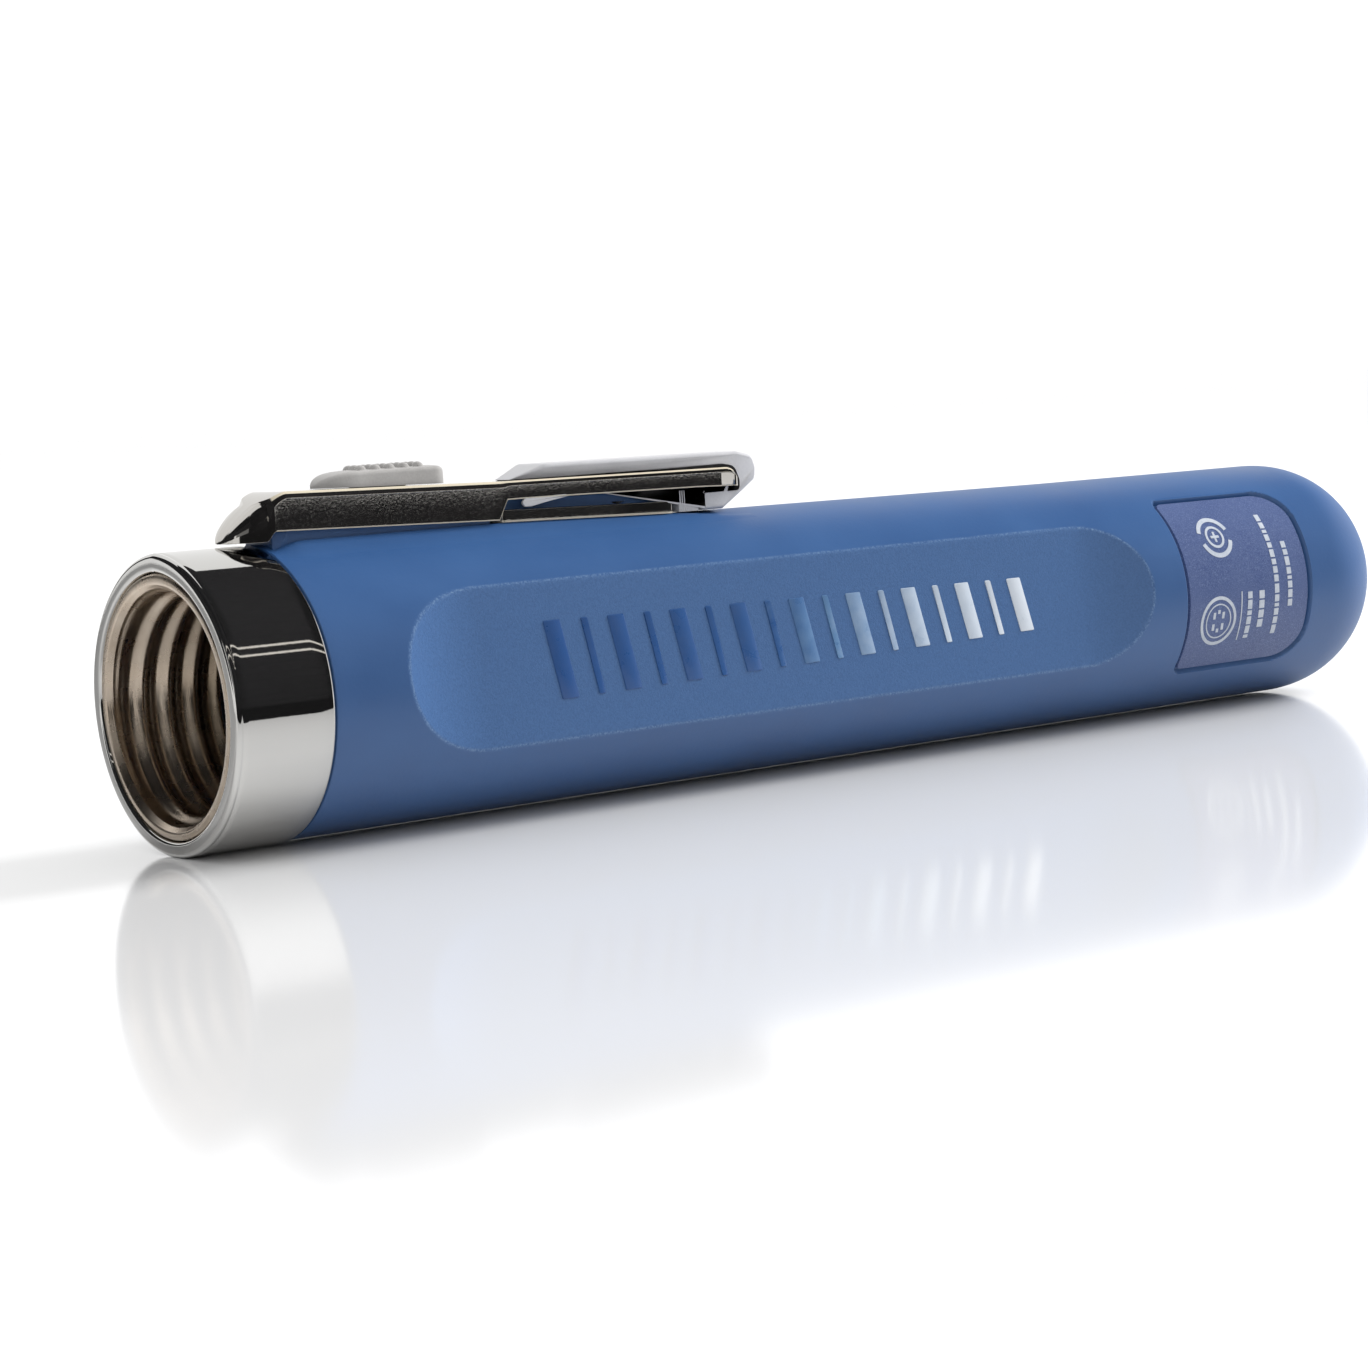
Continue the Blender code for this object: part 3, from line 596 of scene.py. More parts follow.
def make_pad():
    """Grip pad on the arm, turned down round its end as a foot."""
    top = clip_top(29.4) + 0.03
    end = end_of("clip_pad")
    outline = [
        (29.45, top), (32.2, 15.08), (50.6, 14.98), (52.4, 14.6), (end, 13.6),
        (end - 0.2, 12.75), (51.2, 11.95), (48.9, 10.6), (46.8, 10.6), (46.8, 12.2), (ARM_END + 0.08, 12.2),
        (ARM_END + 0.1, 12.7), (ARM_END - 0.3, 13.6), (ARM_END - 1.4, clip_top(ARM_END) + 0.02),
    ]
    outline = rounded(outline, [0.03, 1.2, 1.3, 1.0, 0.7, 0.6, 0.5, 0.2, 0.12, 0.1, 0.1, 0.4, 0.6, 0.4], 6)

    def place(x, z, y):
        front = bulge((33.0 - x) / 4.0, 2.0)
        rear = bulge((x - (end - 4.0)) / 4.6, 2.2)
        return at(x, y * front * rear, z)

    bm = bmesh.new()
    rounded_prism(bm, outline, PAD_HALF, 0.28, place, 5, lambda x: min(1.0, 0.5 * (x - 29.45)))
    pad = add_piece("pad_skin", bm, 45, "clip", ["clip_pad"])
    pieces = [pad]

    side = []
    pitch, count = 0.2, 4
    half = PAD_HALF - 0.1
    for i in range(count):
        start = 44.65 + pitch * i
        side += [(start, half - 0.06), (start + 0.06, half), (start + 0.12, half), (start + 0.18, half - 0.06)]
    outline = [(44.6, -half + 0.06), (44.6, half - 0.06)] + side
    outline += [(45.6, half), (46.45, half), (46.5, half - 0.4), (46.8, half - 0.4)]
    outline += [(x, -y) for x, y in reversed(outline[2:])]
    bm = bmesh.new()
    low = [bm.verts.new(at(x, y, 10.6)) for x, y in outline]
    high = [bm.verts.new(at(x, y, 12.25)) for x, y in outline]
    skin_capped(bm, [low, high])
    pieces.append(add_piece("pad_ribs", bm, 30, "clip"))

    lug = [(29.7, 12.6), (29.45, 12.3), (29.7, 12.0), (30.3, 12.0)]
    lug += [(32.0, 12.3), (33.7, 12.55), (33.5, 12.7), (29.9, 12.7)]
    bm = bmesh.new()
    for side_y in (-1, 1):
        middle = side_y * (CLIP_HALF - 0.14)
        rounded_prism(bm, rounded(lug, 0.2, 4), 0.13, 0.06, lambda x, z, y: at(x, middle + y, z), 3)
    pieces.append(add_piece("pad_lug", bm, 45, "clip"))
    return pieces


def make_rail():
    """The sprung clip's foot rail: a full block that narrows to a thin, polished flange."""
    bm = bmesh.new()
    rings = []
    start, end = start_of("clip_rail"), end_of("clip_rail")
    spans = [(start, start + 0.3, 0.06), (start + 0.3, 37.4, 0.6)]
    spans += [(37.4, end - 1.4, 0.15), (end - 1.4, end - 0.02, 0.08)]
    for x in stations_along(spans):
        into = min(0.3, x - start)
        soft = 0.3 - (0.09 - (0.3 - into) ** 2) ** 0.5 if into < 0.3 else 0.0
        waist = mix(RAIL_HALF - 0.04, 1.75, float(ease(x, 38.3, end))) - soft
        rear = max(0.0, x - (end - 1.4))
        flange = RAIL_HALF - soft - 0.5 * (1.4 - (1.4 ** 2 - rear ** 2) ** 0.5)
        foot, top = rail_bottom(x), rail_bottom(x) + RAIL_HEIGHT - soft
        waist = min(waist, flange - 0.06)
        half = [(-flange, foot), (-flange, foot + 0.14), (-waist, foot + 0.2), (-waist, top)]
        outline = half + [(-y, z) for y, z in reversed(half)]
        section = rounded(outline, [0.04, 0.05, 0.08, 0.1, 0.1, 0.08, 0.05, 0.04], 3)
        rings.append([bm.verts.new(at(x, y, z)) for y, z in section])
    skin_capped(bm, rings)
    rail = add_piece("rail_skin", bm, 40, "handle", ["clip_rail"])
    write_attribute(rail, "plain", lambda x, r, a: ease(x, 38.2, 38.7))
    # A painted highlight line along the rail's foot.
    feet = RAIL_BOTTOM + 0.06 + RAIL_SLOPE * HOUSING_END
    write_attribute(rail, "painted_glint", lambda x, r, a: 0.6 * (np.abs(r * np.cos(a) + RAIL_SLOPE * x - feet) < 0.1))
    return rail


# ---------------------------------------------------------------- switch button

BUTTON_START, BUTTON_END = start_of("switch_button"), end_of("switch_button")
DOT_ROWS = (-0.78, 0.0, 0.78)
DOTS_START, DOT_PITCH, DOT_COUNT = 16.75, 1.22, 5


def button_width(x):
    front = bulge((16.15 - x) / (16.15 - BUTTON_START), 2.0)
    rear = bulge((x - 22.5) / (BUTTON_END - 22.5), 2.2)
    return BUTTON_HALF * front * rear


def dot_height(x, y):
    """Small grip domes in three rows."""
    column = round((x - DOTS_START) / DOT_PITCH)
    if not 0 <= column < DOT_COUNT:
        return 0.0
    row = min(DOT_ROWS, key=lambda place: abs(place - y))
    away = ((x - DOTS_START - DOT_PITCH * column) ** 2 + (y - row) ** 2) ** 0.5
    return 0.34 * bulge(away / 0.42, 2.0) if away < 0.42 else 0.0


def button_top(x, y):
    """Height of the thumb button: a ramp, a field of grip domes and a rounded rear."""
    ramp = 1.1 * bulge((16.1 - x) / (16.1 - BUTTON_START), 1.9)
    fall = 0.75 * (1 - bulge((x - 22.6) / (BUTTON_END - 22.6), 2.2))
    across = abs(y) / BUTTON_HALF
    return 14.45 + ramp - fall + dot_height(x, y) - 0.1 * across ** 2


def make_button():
    bm = bmesh.new()
    marks = [(BUTTON_START + 0.01, 13.6, 0.05), (13.6, 16.2, 0.13), (16.2, 22.3, 0.06), (22.3, 23.4, 0.1)]
    marks += [(23.4, BUTTON_END - 0.005, 0.03)]
    rings = []
    spread = 46
    for x in stations_along(marks):
        half = button_width(x)
        low = clip_top(x) + 0.06
        edge = min(0.3, 0.4 * half)
        ring = [(-half, low)]
        shoulder = max(low + 0.02, button_top(x, half) - edge)
        for i in range(5):
            turn = 0.5 * pi * i / 5
            ring.append((-half + edge * (1 - cos(turn)), shoulder + edge * sin(turn)))
        inner = half - edge
        for i in range(spread + 1):
            y = -inner + 2 * inner * i / spread
            ring.append((y, max(shoulder + 0.01, button_top(x, y))))
        ring += [(-y, z) for y, z in reversed(ring[:6])]
        rings.append([bm.verts.new(at(x, y, z)) for y, z in ring])
    skin_capped(bm, rings)
    stem = [(16.6, 13.2), (20.6, 13.2), (20.6, 14.8), (16.6, 14.8)]
    rounded_prism(bm, rounded(stem, 0.1, 2), 0.75, 0.1, upright, 2)
    return add_piece("button_skin", bm, 50, "switch", ["switch_button"])


# ---------------------------------------------------------------- label and emblem

def on_label(x, along, height):
    """A point on the label's film; along is measured on the curve, upwards."""
    r = SLEEVE_R - 0.14 + height
    return around(x, r, SIDE - along / SLEEVE_R)


def on_panel(x, up, height):
    """A point on the front panel's flat floor."""
    out = PANEL_FLOOR + height
    return at(x, -out * cos(PANEL_TILT) + up * sin(PANEL_TILT), out * sin(PANEL_TILT) + up * cos(PANEL_TILT))


def label_span(along, inset):
    """The label's front and rear ends at a height on its curve."""
    half = LABEL_HALF - inset
    front_r, rear_r = 0.7 - inset * 0.5, 3.2 - inset * 0.5
    ends = []
    for corner in (front_r, rear_r):
        over = max(0.0, abs(along) - (half - corner))
        ends.append(corner - max(0.0, corner ** 2 - over ** 2) ** 0.5)
    return LABEL_START + inset + ends[0], LABEL_END - inset - ends[1]


def make_label():
    bm = bmesh.new()
    count, columns = 40, 24
    rows = [sin(0.5 * pi * (2 * i / count - 1)) for i in range(count + 1)]
    grids = []
    for inset, height in ((0.1, 0.0), (0.0, -0.28)):
        grid = []
        for share in rows:
            along = (LABEL_HALF - inset) * share
            front, rear = label_span(along, inset)
            places = [mix(front, rear, k / columns) for k in range(columns + 1)]
            grid.append([bm.verts.new(on_label(x, along, height)) for x in places])
        for low, high in zip(grid, grid[1:]):
            for k in range(columns):
                bm.faces.new((low[k], low[k + 1], high[k + 1], high[k]))
        loop = grid[0] + [row[-1] for row in grid[1:-1]] + grid[-1][::-1] + [row[0] for row in grid[-2:0:-1]]
        grids.append(loop)
    middle = []
    for vertex_top, vertex_low in zip(*grids):
        middle.append(bm.verts.new(vertex_low.co + (vertex_top.co - vertex_low.co) * 0.72))
    skin(bm, [grids[0], middle, grids[1]])
    return add_piece("label_skin", bm, 30, "handle", ["rating_label"])


def add_band(bm, path, width, place, low, high, closed=False):
    """A thin raised line along a flat path, with square ends."""
    path = np.array(path, float)
    count = len(path)
    rings = []
    for i in range(count):
        before = path[(i - 1) % count] if closed or i else path[0]
        after = path[(i + 1) % count] if closed or i < count - 1 else path[-1]
        run = after - before
        run /= np.linalg.norm(run)
        side = np.array([-run[1], run[0]]) * width / 2
        corners = [(path[i] - side, low), (path[i] + side, low), (path[i] + side, high), (path[i] - side, high)]
        rings.append([bm.verts.new(place(a, b, h)) for (a, b), h in corners])
    skin(bm, rings, closed)
    if not closed:
        bm.faces.new(rings[0])
        bm.faces.new(rings[-1])


def arc(centre, radius, low, high):
    """Points of an arc, with angles in degrees."""
    steps = 40
    turns = [radians(low + (high - low) * i / steps) for i in range(steps + 1)]
    return [(centre[0] + radius * cos(t), centre[1] + radius * sin(t)) for t in turns]


def make_print():
    """Generic marks printed on the label: two ringed battery signs, a rule and rows of dashes."""
    bm = bmesh.new()
    lift = (-0.02, 0.025)

    def line(points, width, closed=False):
        add_band(bm, points, width, on_label, *lift, closed)

    upper, lower = (96.9, 3.9), (95.9, -3.6)
    line(arc(upper, 1.75, 20, 165), 0.42)
    line(arc(upper, 1.75, 200, 345), 0.42)
    line(arc(upper, 0.95, 0, 360)[:-1], 0.24, True)
    line([(upper[0], upper[1] - 0.5), (upper[0], upper[1] + 0.5)], 0.24)
    line([(upper[0] - 0.5, upper[1]), (upper[0] + 0.5, upper[1])], 0.24)
    line(arc(lower, 2.05, 0, 360)[:-1], 0.3, True)
    line(arc(lower, 1.5, 0, 360)[:-1], 0.12, True)
    line([(lower[0] - 0.55, lower[1] - 0.8), (lower[0] - 0.55, lower[1] + 0.8)], 0.3)
    line([(lower[0], lower[1] - 1.0), (lower[0], lower[1] + 1.0)], 0.3)
    line([(lower[0] + 0.55, lower[1] - 0.8), (lower[0] + 0.55, lower[1] + 0.8)], 0.3)
    line([(98.7, -5.6 + 0.4 * i) for i in range(12)], 0.12)

    def dashes(x, start, lengths, tall, space=0.28):
        along = start
        for length in lengths:
            count = max(2, ceil(length / 0.4))
            line([(x, along + length * i / count) for i in range(count + 1)], tall)
            along += length + space

    dashes(99.75, -5.5, (0.3, 0.7, 0.7, 0.4, 0.8, 0.6), 0.55, 0.14)
    dashes(101.25, -4.6, (0.7, 0.7, 0.7, 0.7), 0.65, 0.16)
    dashes(103.2, -5.4, (0.8, 0.6, 0.6, 0.3, 0.6, 0.8), 0.55, 0.16)
    dashes(103.2, -0.7, (0.6, 0.6, 0.5, 0.7, 0.5, 0.6, 0.3, 0.6, 0.7), 0.55, 0.16)
    dashes(104.9, -3.0, (0.6, 0.7, 0.6, 0.3, 0.6, 0.8, 0.5, 0.6), 0.55, 0.16)
    return add_piece("label_print", bm, 30, "handle")


def make_emblem():
    """A plain row of slanted bars on each side panel."""
    bars = 17
    first, last = 28.0, 74.0
    pieces = []
    for name, side in (("emblem_front", -1), ("emblem_rear", 1)):
        bm = bmesh.new()
        for i in range(bars):
            x = first + (last - first) * i / (bars - 1)
            wide = 1.5 if i % 2 == 0 else 0.55
            tall = 2.9 - 0.7 * i / (bars - 1)
            lean = 0.9
            outline = [(x - wide / 2 - lean / 2, tall), (x + wide / 2 - lean / 2, tall)]
            outline += [(x + wide / 2 + lean / 2, -tall), (x - wide / 2 + lean / 2, -tall)]
            rings = []
            for height, inset in ((-0.05, 0.0), (0.035, 0.0), (0.06, 0.04)):
                ring = []
                for px, up in rounded(outline, 0.12, 3):
                    px += inset * (1 if px < x else -1)
                    up -= inset * (1 if up > 0 else -1)
                    spot = on_panel(px, up, height)
                    ring.append(bm.verts.new((spot.x, -side * spot.y if side > 0 else spot.y, spot.z)))
                rings.append(ring)
            skin_capped(bm, rings)
        pieces.append(add_piece(name, bm, 30, "handle"))
    return pieces


def make_spring():
    """The conical battery spring, which on the handle shortens as the contact cap is pushed in; it is built here
    at one length.
    """
    wire = 0.3
    front = end_of("spring_cap") - 1.2 + wire + 0.3
    rear = start_of("spring_plate") - wire - 0.3
    turns, steps, around_wire = 3.5, 168, 12
    path = []
    for i in range(steps + 1):
        share = i / steps
        path.append(around(rear + (front - rear) * share, 4.2 - 1.6 * share, 2 * pi * turns * share))
    bm = bmesh.new()
    rings = []
    for i, here in enumerate(path):
        run = (path[min(i + 1, steps)] - path[max(i - 1, 0)]).normalized()
        out = run.cross(Vector((1, 0, 0))).normalized()
        up = out.cross(run)
        ring = []
        for k in range(around_wire):
            turn = 2 * pi * k / around_wire
            ring.append(bm.verts.new(here + (out * cos(turn) + up * sin(turn)) * wire * MM))
        rings.append(ring)
    skin_capped(bm, rings)
    spring = add_piece("spring_skin", bm, 35, "handle", ["battery_spring"])
    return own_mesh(spring)


# ---------------------------------------------------------------- camera, floor and light

CAMERA_SPOT = (-98.8, -188.5, 19.75)
CAMERA_TARGET = (45.5, 0, -2.92)
CAMERA_LENS = 80.2
CAMERA_ROLL = radians(3.22)
DARK = (0.018, 0.018, 0.019)
CARD_R, CARD_REACH = 0.7, 1.3
STRIP_R = 0.69
KEY_SPOT, KEY_TARGET = (0.66, -0.08, 0.4), (0.02, 0, 0.01)
KEY_SIZE, KEY_POWER = (0.35, 0.35), 10.0
WORLD_STRENGTH = 1.12
TABLE_COLOUR, TABLE_ROUGHNESS, TABLE_IOR = (0.66, 0.66, 0.665), 0.1, 1.48

def add_camera():
    """Three-quarter view of the mouth, nearly level, rolled a little."""
    data = bpy.data.cameras.new("camera")
    data.sensor_width = 36.0
    data.lens = CAMERA_LENS
    data.clip_start = 0.01
    camera = bpy.data.objects.new("camera", data)
    bpy.context.scene.collection.objects.link(camera)
    place = at(*CAMERA_SPOT)
    forward = (at(*CAMERA_TARGET) - place).normalized()
    right = forward.cross(Vector((0, 0, 1))).normalized()
    up = right.cross(forward)
    roll = CAMERA_ROLL
    right, up = right * cos(roll) - up * sin(roll), up * cos(roll) + right * sin(roll)
    axes = Matrix((right, up, -forward)).transposed().to_4x4()
    camera.matrix_world = Matrix.Translation(place) @ axes
    bpy.context.scene.camera = camera


def stage_mesh(name, verts, faces, colour, roughness, glow=0.0, glow_colour=(1, 1, 1)):
    """A floor, card or lamp face that isn't part of the object."""
    mesh = bpy.data.meshes.new(name)
    mesh.from_pydata(verts, [], faces)
    made = bpy.data.objects.new(name, mesh)
    bpy.context.scene.collection.objects.link(made)
    finish = bpy.data.materials.new(name)
    finish.use_nodes = True
    shader = finish.node_tree.nodes["Principled BSDF"]
    shader.inputs["Base Color"].default_value = (*colour, 1)
    shader.inputs["Roughness"].default_value = roughness
    shader.inputs["Emission Color"].default_value = (*glow_colour, 1)
    shader.inputs["Emission Strength"].default_value = glow
    if roughness == 1.0:
        shader.inputs["Specular IOR Level"].default_value = 0.0
    mesh.materials.append(finish)
    return made


def add_floor():
    """A glossy white table. Reflections see only its rear part, so its front edge mirrors as dark."""
    far, edge = 6.0, -0.062
    for name, low, high in (("table_rear", edge, far), ("table_front", -far, edge)):
        corners = [(-far, low, 0), (far, low, 0), (far, high, 0), (-far, high, 0)]
        table = stage_mesh(name, corners, [(0, 1, 2, 3)], TABLE_COLOUR, TABLE_ROUGHNESS)
        table.data.materials[0].node_tree.nodes["Principled BSDF"].inputs["IOR"].default_value = TABLE_IOR
        table.visible_glossy = name == "table_rear"


def add_painted_contact_shadow():
    """A dark strip on the table, out of sight under the tube: a painted contact shadow, so that no light passes
    beneath it.
    """
    corners = [at(x, 2.0, z - AXIS_Z) for x, z in ((9.0, 0.0), (112.0, 0.0), (112.0, 0.26), (9.0, 0.26))]
    stage_mesh("painted_contact_shadow", corners, [(0, 1, 2, 3)], (0.03, 0.04, 0.06), 1.0)


def show_in_reflections_only(card):
    card.visible_camera = False
    card.visible_diffuse = False
    card.visible_shadow = False


def add_card(name, low, high, glow=0.0, radius=CARD_R):
    """A curved card round the X axis, seen only in reflections. Angles go upwards from -Y."""
    steps = 24
    verts, faces = [], []
    for i in range(steps + 1):
        angle = radians(low + (high - low) * i / steps)
        verts += [(x, -radius * cos(angle), radius * sin(angle)) for x in (-CARD_REACH, CARD_REACH)]
    for i in range(steps):
        a = 2 * i
        faces.append((a, a + 1, a + 3, a + 2))
    card = stage_mesh(name, verts, faces, DARK, 1.0, glow, (1, 0.95, 0.88))
    show_in_reflections_only(card)


def add_side_card(name, across, up, glow):
    """A flat card beyond the mouth, seen only in reflections."""
    (left, right), (low, high) = across, up
    corners = [(-0.5, left, low), (-0.5, right, low), (-0.5, right, high), (-0.5, left, high)]
    card = stage_mesh(name, corners, [(0, 1, 2, 3)], DARK, 1.0, glow)
    show_in_reflections_only(card)


def add_lamp(name, place, target, size, power):
    """A soft lamp that is not mirrored in the object."""
    data = bpy.data.lights.new(name, "AREA")
    data.shape = "RECTANGLE"
    data.size, data.size_y = size
    data.energy = power
    lamp = bpy.data.objects.new(name, data)
    bpy.context.scene.collection.objects.link(lamp)
    lamp.location = place
    lamp.rotation_euler = (Vector(target) - Vector(place)).to_track_quat("-Z", "Y").to_euler()
    lamp.visible_glossy = False
    lamp.visible_camera = False


def add_studio():
    """White surroundings, a dark room on the near side and overhead, and soft lamps."""
    world = bpy.data.worlds.new("studio")
    world.use_nodes = True
    background = world.node_tree.nodes["Background"]
    background.inputs["Color"].default_value = (1, 1, 1, 1)
    background.inputs["Strength"].default_value = WORLD_STRENGTH
    bpy.context.scene.world = world
    bpy.context.scene.view_settings.view_transform = "Standard"
    add_card("dark_room", -14.0, 120.5)
    add_card("strip_low", 38.5, 40.1, glow=1.0, radius=STRIP_R)
    add_card("strip_high", 45.0, 46.6, glow=1.0, radius=STRIP_R)
    add_side_card("dark_side", (-0.9, 1.1), (0.3, 1.6), 0.0)
    add_side_card("dark_side_low", (-0.05, 2.6), (0.03, 0.3), 0.0)
    add_side_card("grey_side", (-0.5, -0.1), (0.1, 0.3), 0.2)
    add_lamp("key_lamp", KEY_SPOT, KEY_TARGET, KEY_SIZE, KEY_POWER)


# ---------------------------------------------------------------- materials

class Surface:
    """A Principled material whose colour, roughness and relief come from procedural nodes."""

    def __init__(self, name, metallic=0.0, **sockets):
        self.material = bpy.data.materials.new(name)
        self.material.use_nodes = True
        self.tree = self.material.node_tree
        self.shader = self.tree.nodes["Principled BSDF"]
        self.shader.inputs["Metallic"].default_value = metallic
        for socket, value in sockets.items():
            self.shader.inputs[socket.replace("_", " ")].default_value = value
        self.place = self.tree.nodes.new("ShaderNodeTexCoord").outputs["Object"]

    def node(self, kind, inputs=None, **settings):
        made = self.tree.nodes.new("ShaderNode" + kind)
        for key, value in settings.items():
            setattr(made, key, value)
        for key, value in (inputs or {}).items():
            if isinstance(value, bpy.types.NodeSocket):
                self.tree.links.new(value, made.inputs[key])
            else:
                made.inputs[key].default_value = value
        return made

    def stretched(self, scale):
        """Object coordinates scaled differently along each axis."""
        return self.node("Mapping", {"Vector": self.place, "Scale": scale}).outputs["Vector"]

    def noise(self, size, detail=2.0, vector=None, roughness=0.5):
        """Noise whose features measure about size millimetres."""
        inputs = {"Vector": vector or self.place, "Scale": 1 / (size * MM)}
        inputs.update({"Detail": detail, "Roughness": roughness})
        return self.node("TexNoise", inputs).outputs["Fac"]

    def attribute(self, name):
        return self.node("Attribute", attribute_name=name).outputs["Fac"]

    def math(self, operation, a, b=0.0):
        return self.node("Math", {0: a, 1: b}, operation=operation).outputs[0]

    def range(self, value, low, high, to_low=0.0, to_high=1.0):
        inputs = {"Value": value, "From Min": low, "From Max": high, "To Min": to_low, "To Max": to_high}
        return self.node("MapRange", inputs).outputs["Result"]

    def ramp(self, value, stops):
        """A colour that runs through (position, colour) stops."""
        ramp = self.node("ValToRGB", {"Fac": value})
        elements = ramp.color_ramp.elements
        while len(elements) < len(stops):
            elements.new(0.5)
        for element, (position, colour) in zip(elements, stops):
            element.position = position
            element.color = (*colour, 1)
        return ramp.outputs["Color"]

    def mix(self, share, a, b):
        made = self.node("Mix", data_type="RGBA")
        for socket, value in ((made.inputs[0], share), (made.inputs[6], a), (made.inputs[7], b)):
            if isinstance(value, bpy.types.NodeSocket):
                self.tree.links.new(value, socket)
            else:
                socket.default_value = value if socket is made.inputs[0] else (*value, 1)
        return made.outputs[2]

    def link(self, socket, value):
        self.tree.links.new(value, self.shader.inputs[socket])

    def relief(self, layers):
        """Bump layers of (height, depth in millimetres), the last on top."""
        normal = None
        for height, depth in layers:
            inputs = {"Height": height, "Distance": depth * MM, "Strength": 1.0}
            if normal:
                inputs["Normal"] = normal
            normal = self.node("Bump", inputs).outputs["Normal"]
        self.link("Normal", normal)


def srgb(*levels):
    """Linear colour from 0-255 display levels."""
    shares = [level / 255 for level in levels]
    return tuple(c / 12.92 if c <= 0.04045 else ((c + 0.055) / 1.055) ** 2.4 for c in shares)


def plain_surface(name, dark, light, rough, metallic=0.0, patch=3.0):
    """Colour between two shades, with patchy roughness and a fine grain."""
    s = Surface(name, metallic)
    patches = s.noise(patch, 3.0)
    fine = s.noise(0.15, 3.0)
    shade = s.math("ADD", s.math("MULTIPLY", patches, 0.6), s.math("MULTIPLY", fine, 0.4))
    s.link("Base Color", s.ramp(shade, [(0.35, dark), (0.65, light)]))
    s.link("Roughness", s.range(patches, 0.3, 0.7, *rough))
    s.relief([(fine, 0.004)])
    return s.material


def blue_plastic():
    """Satin moulded plastic: smooth on the tube, sand-blasted in the panels, with a painted highlight along
    their edges that is broken up like rubbed wear.
    """
    s = Surface("blue_plastic", IOR=1.58)
    panel, edge = s.attribute("panel"), s.attribute("edge")
    cloudy = s.noise(9.0, 3.0)
    fine = s.noise(0.32, 2.0)
    grit = s.noise(0.16, 4.0, roughness=0.7)
    body = s.ramp(cloudy, [(0.3, srgb(42, 78, 126)), (0.7, srgb(47, 85, 134))])
    speck = s.ramp(grit, [(0.3, srgb(47, 83, 130)), (0.62, srgb(58, 95, 143))])
    colour = s.mix(panel, body, speck)
    # A lighter colour along the panel creases: a painted highlight, speckled by grit like rubbed wear.
    edge_sheen_and_wear = s.math("MULTIPLY", edge, s.range(grit, 0.42, 0.62, 0.0, 0.75))
    s.link("Base Color", s.mix(edge_sheen_and_wear, colour, srgb(118, 146, 178)))
    s.link("Roughness", s.math("ADD", s.range(cloudy, 0.3, 0.7, 0.42, 0.5), s.math("MULTIPLY", panel, 0.1)))
    rough_panel = s.math("MULTIPLY", grit, s.math("ADD", s.math("MULTIPLY", panel, 0.95), 0.05))
    s.relief([(fine, 0.006), (rough_panel, 0.03)])
    return s.material


def emblem_finish():
    """Foil that runs from deep blue at the mouth end to silver."""
    s = Surface("emblem_foil", 0.0, IOR=1.5)
    along = s.node("SeparateXYZ", {"Vector": s.place}).outputs["X"]
    share = s.range(along, (MOUTH_X + 28) * MM, (MOUTH_X + 74) * MM)
    cloud = s.noise(1.6, 4.0)
    wavering = s.math("ADD", share, s.range(cloud, 0.3, 0.7, -0.03, 0.03))
    stops = [(0.0, srgb(36, 72, 124)), (0.42, srgb(42, 78, 128)), (0.56, srgb(84, 118, 156))]
    stops += [(0.8, srgb(166, 178, 192)), (1.0, srgb(186, 193, 202))]
    s.link("Base Color", s.ramp(wavering, stops))
    s.link("Roughness", s.range(cloud, 0.3, 0.7, 0.24, 0.4))
    s.relief([(s.noise(0.5, 3.0), 0.008)])
    return s.material


def chrome(name, base, rough, mottle=0.0):
    """Bright plating with faint smears; mottle gives the sides a cast, pebbled look."""
    s = Surface(name, 1.0)
    smear = s.noise(5.0, 4.0, s.stretched((0.35, 1, 1)))
    fine = s.noise(0.2, 4.0, roughness=0.65)
    s.link("Base Color", s.ramp(smear, [(0.25, tuple(0.94 * c for c in base)), (0.75, base)]))
    if mottle:
        normal = s.tree.nodes["Texture Coordinate"].outputs["Normal"]
        facing = s.node("SeparateXYZ", {"Vector": normal}).outputs["Y"]
        sides = s.range(s.math("ABSOLUTE", facing), 0.9, 0.99)
        sides = s.math("MULTIPLY", sides, s.math("SUBTRACT", 1.0, s.attribute("plain")))
        # Along the marked lines a cream, less metallic, rougher colour is painted as a highlight line.
        painted_glint = s.attribute("painted_glint")
        pebbled = s.ramp(fine, [(0.3, base), (0.7, tuple(0.97 * c for c in base))])
        s.link("Base Color", s.mix(painted_glint, pebbled, srgb(214, 204, 182)))
        s.link("Metallic", s.math("SUBTRACT", 1.0, s.math("MULTIPLY", painted_glint, 0.8)))
        speckled = s.math("MULTIPLY", sides, s.range(fine, 0.45, 0.62, 0.04, 0.16))
        duller = s.math("ADD", speckled, s.math("MULTIPLY", painted_glint, 0.3))
        s.link("Roughness", s.math("ADD", s.range(smear, 0.3, 0.7, *rough), duller))
        s.relief([(smear, 0.0015), (s.math("MULTIPLY", fine, sides), mottle)])
    else:
        s.link("Roughness", s.range(smear, 0.3, 0.7, *rough))
        s.relief([(smear, 0.003), (fine, 0.0006)])
    return s.material


def turned_nickel():
    """Warm nickel with turning marks, darker deeper in the bore and low in the thread."""
    s = Surface("turned_nickel", 1.0)
    depth = s.attribute("depth")
    rings = s.noise(0.09, 3.0, s.stretched((1, 0.05, 0.05)))
    cloud = s.noise(2.2, 4.0)
    clean = s.ramp(cloud, [(0.3, srgb(188, 172, 154)), (0.7, srgb(208, 195, 179))])
    deep_tone = s.ramp(cloud, [(0.3, srgb(104, 91, 75)), (0.7, srgb(146, 130, 108))])
    s.link("Base Color", s.mix(depth, clean, deep_tone))
    s.link("Roughness", s.range(cloud, 0.3, 0.7, 0.22, 0.36))
    s.relief([(rings, 0.012), (cloud, 0.02)])
    return s.material


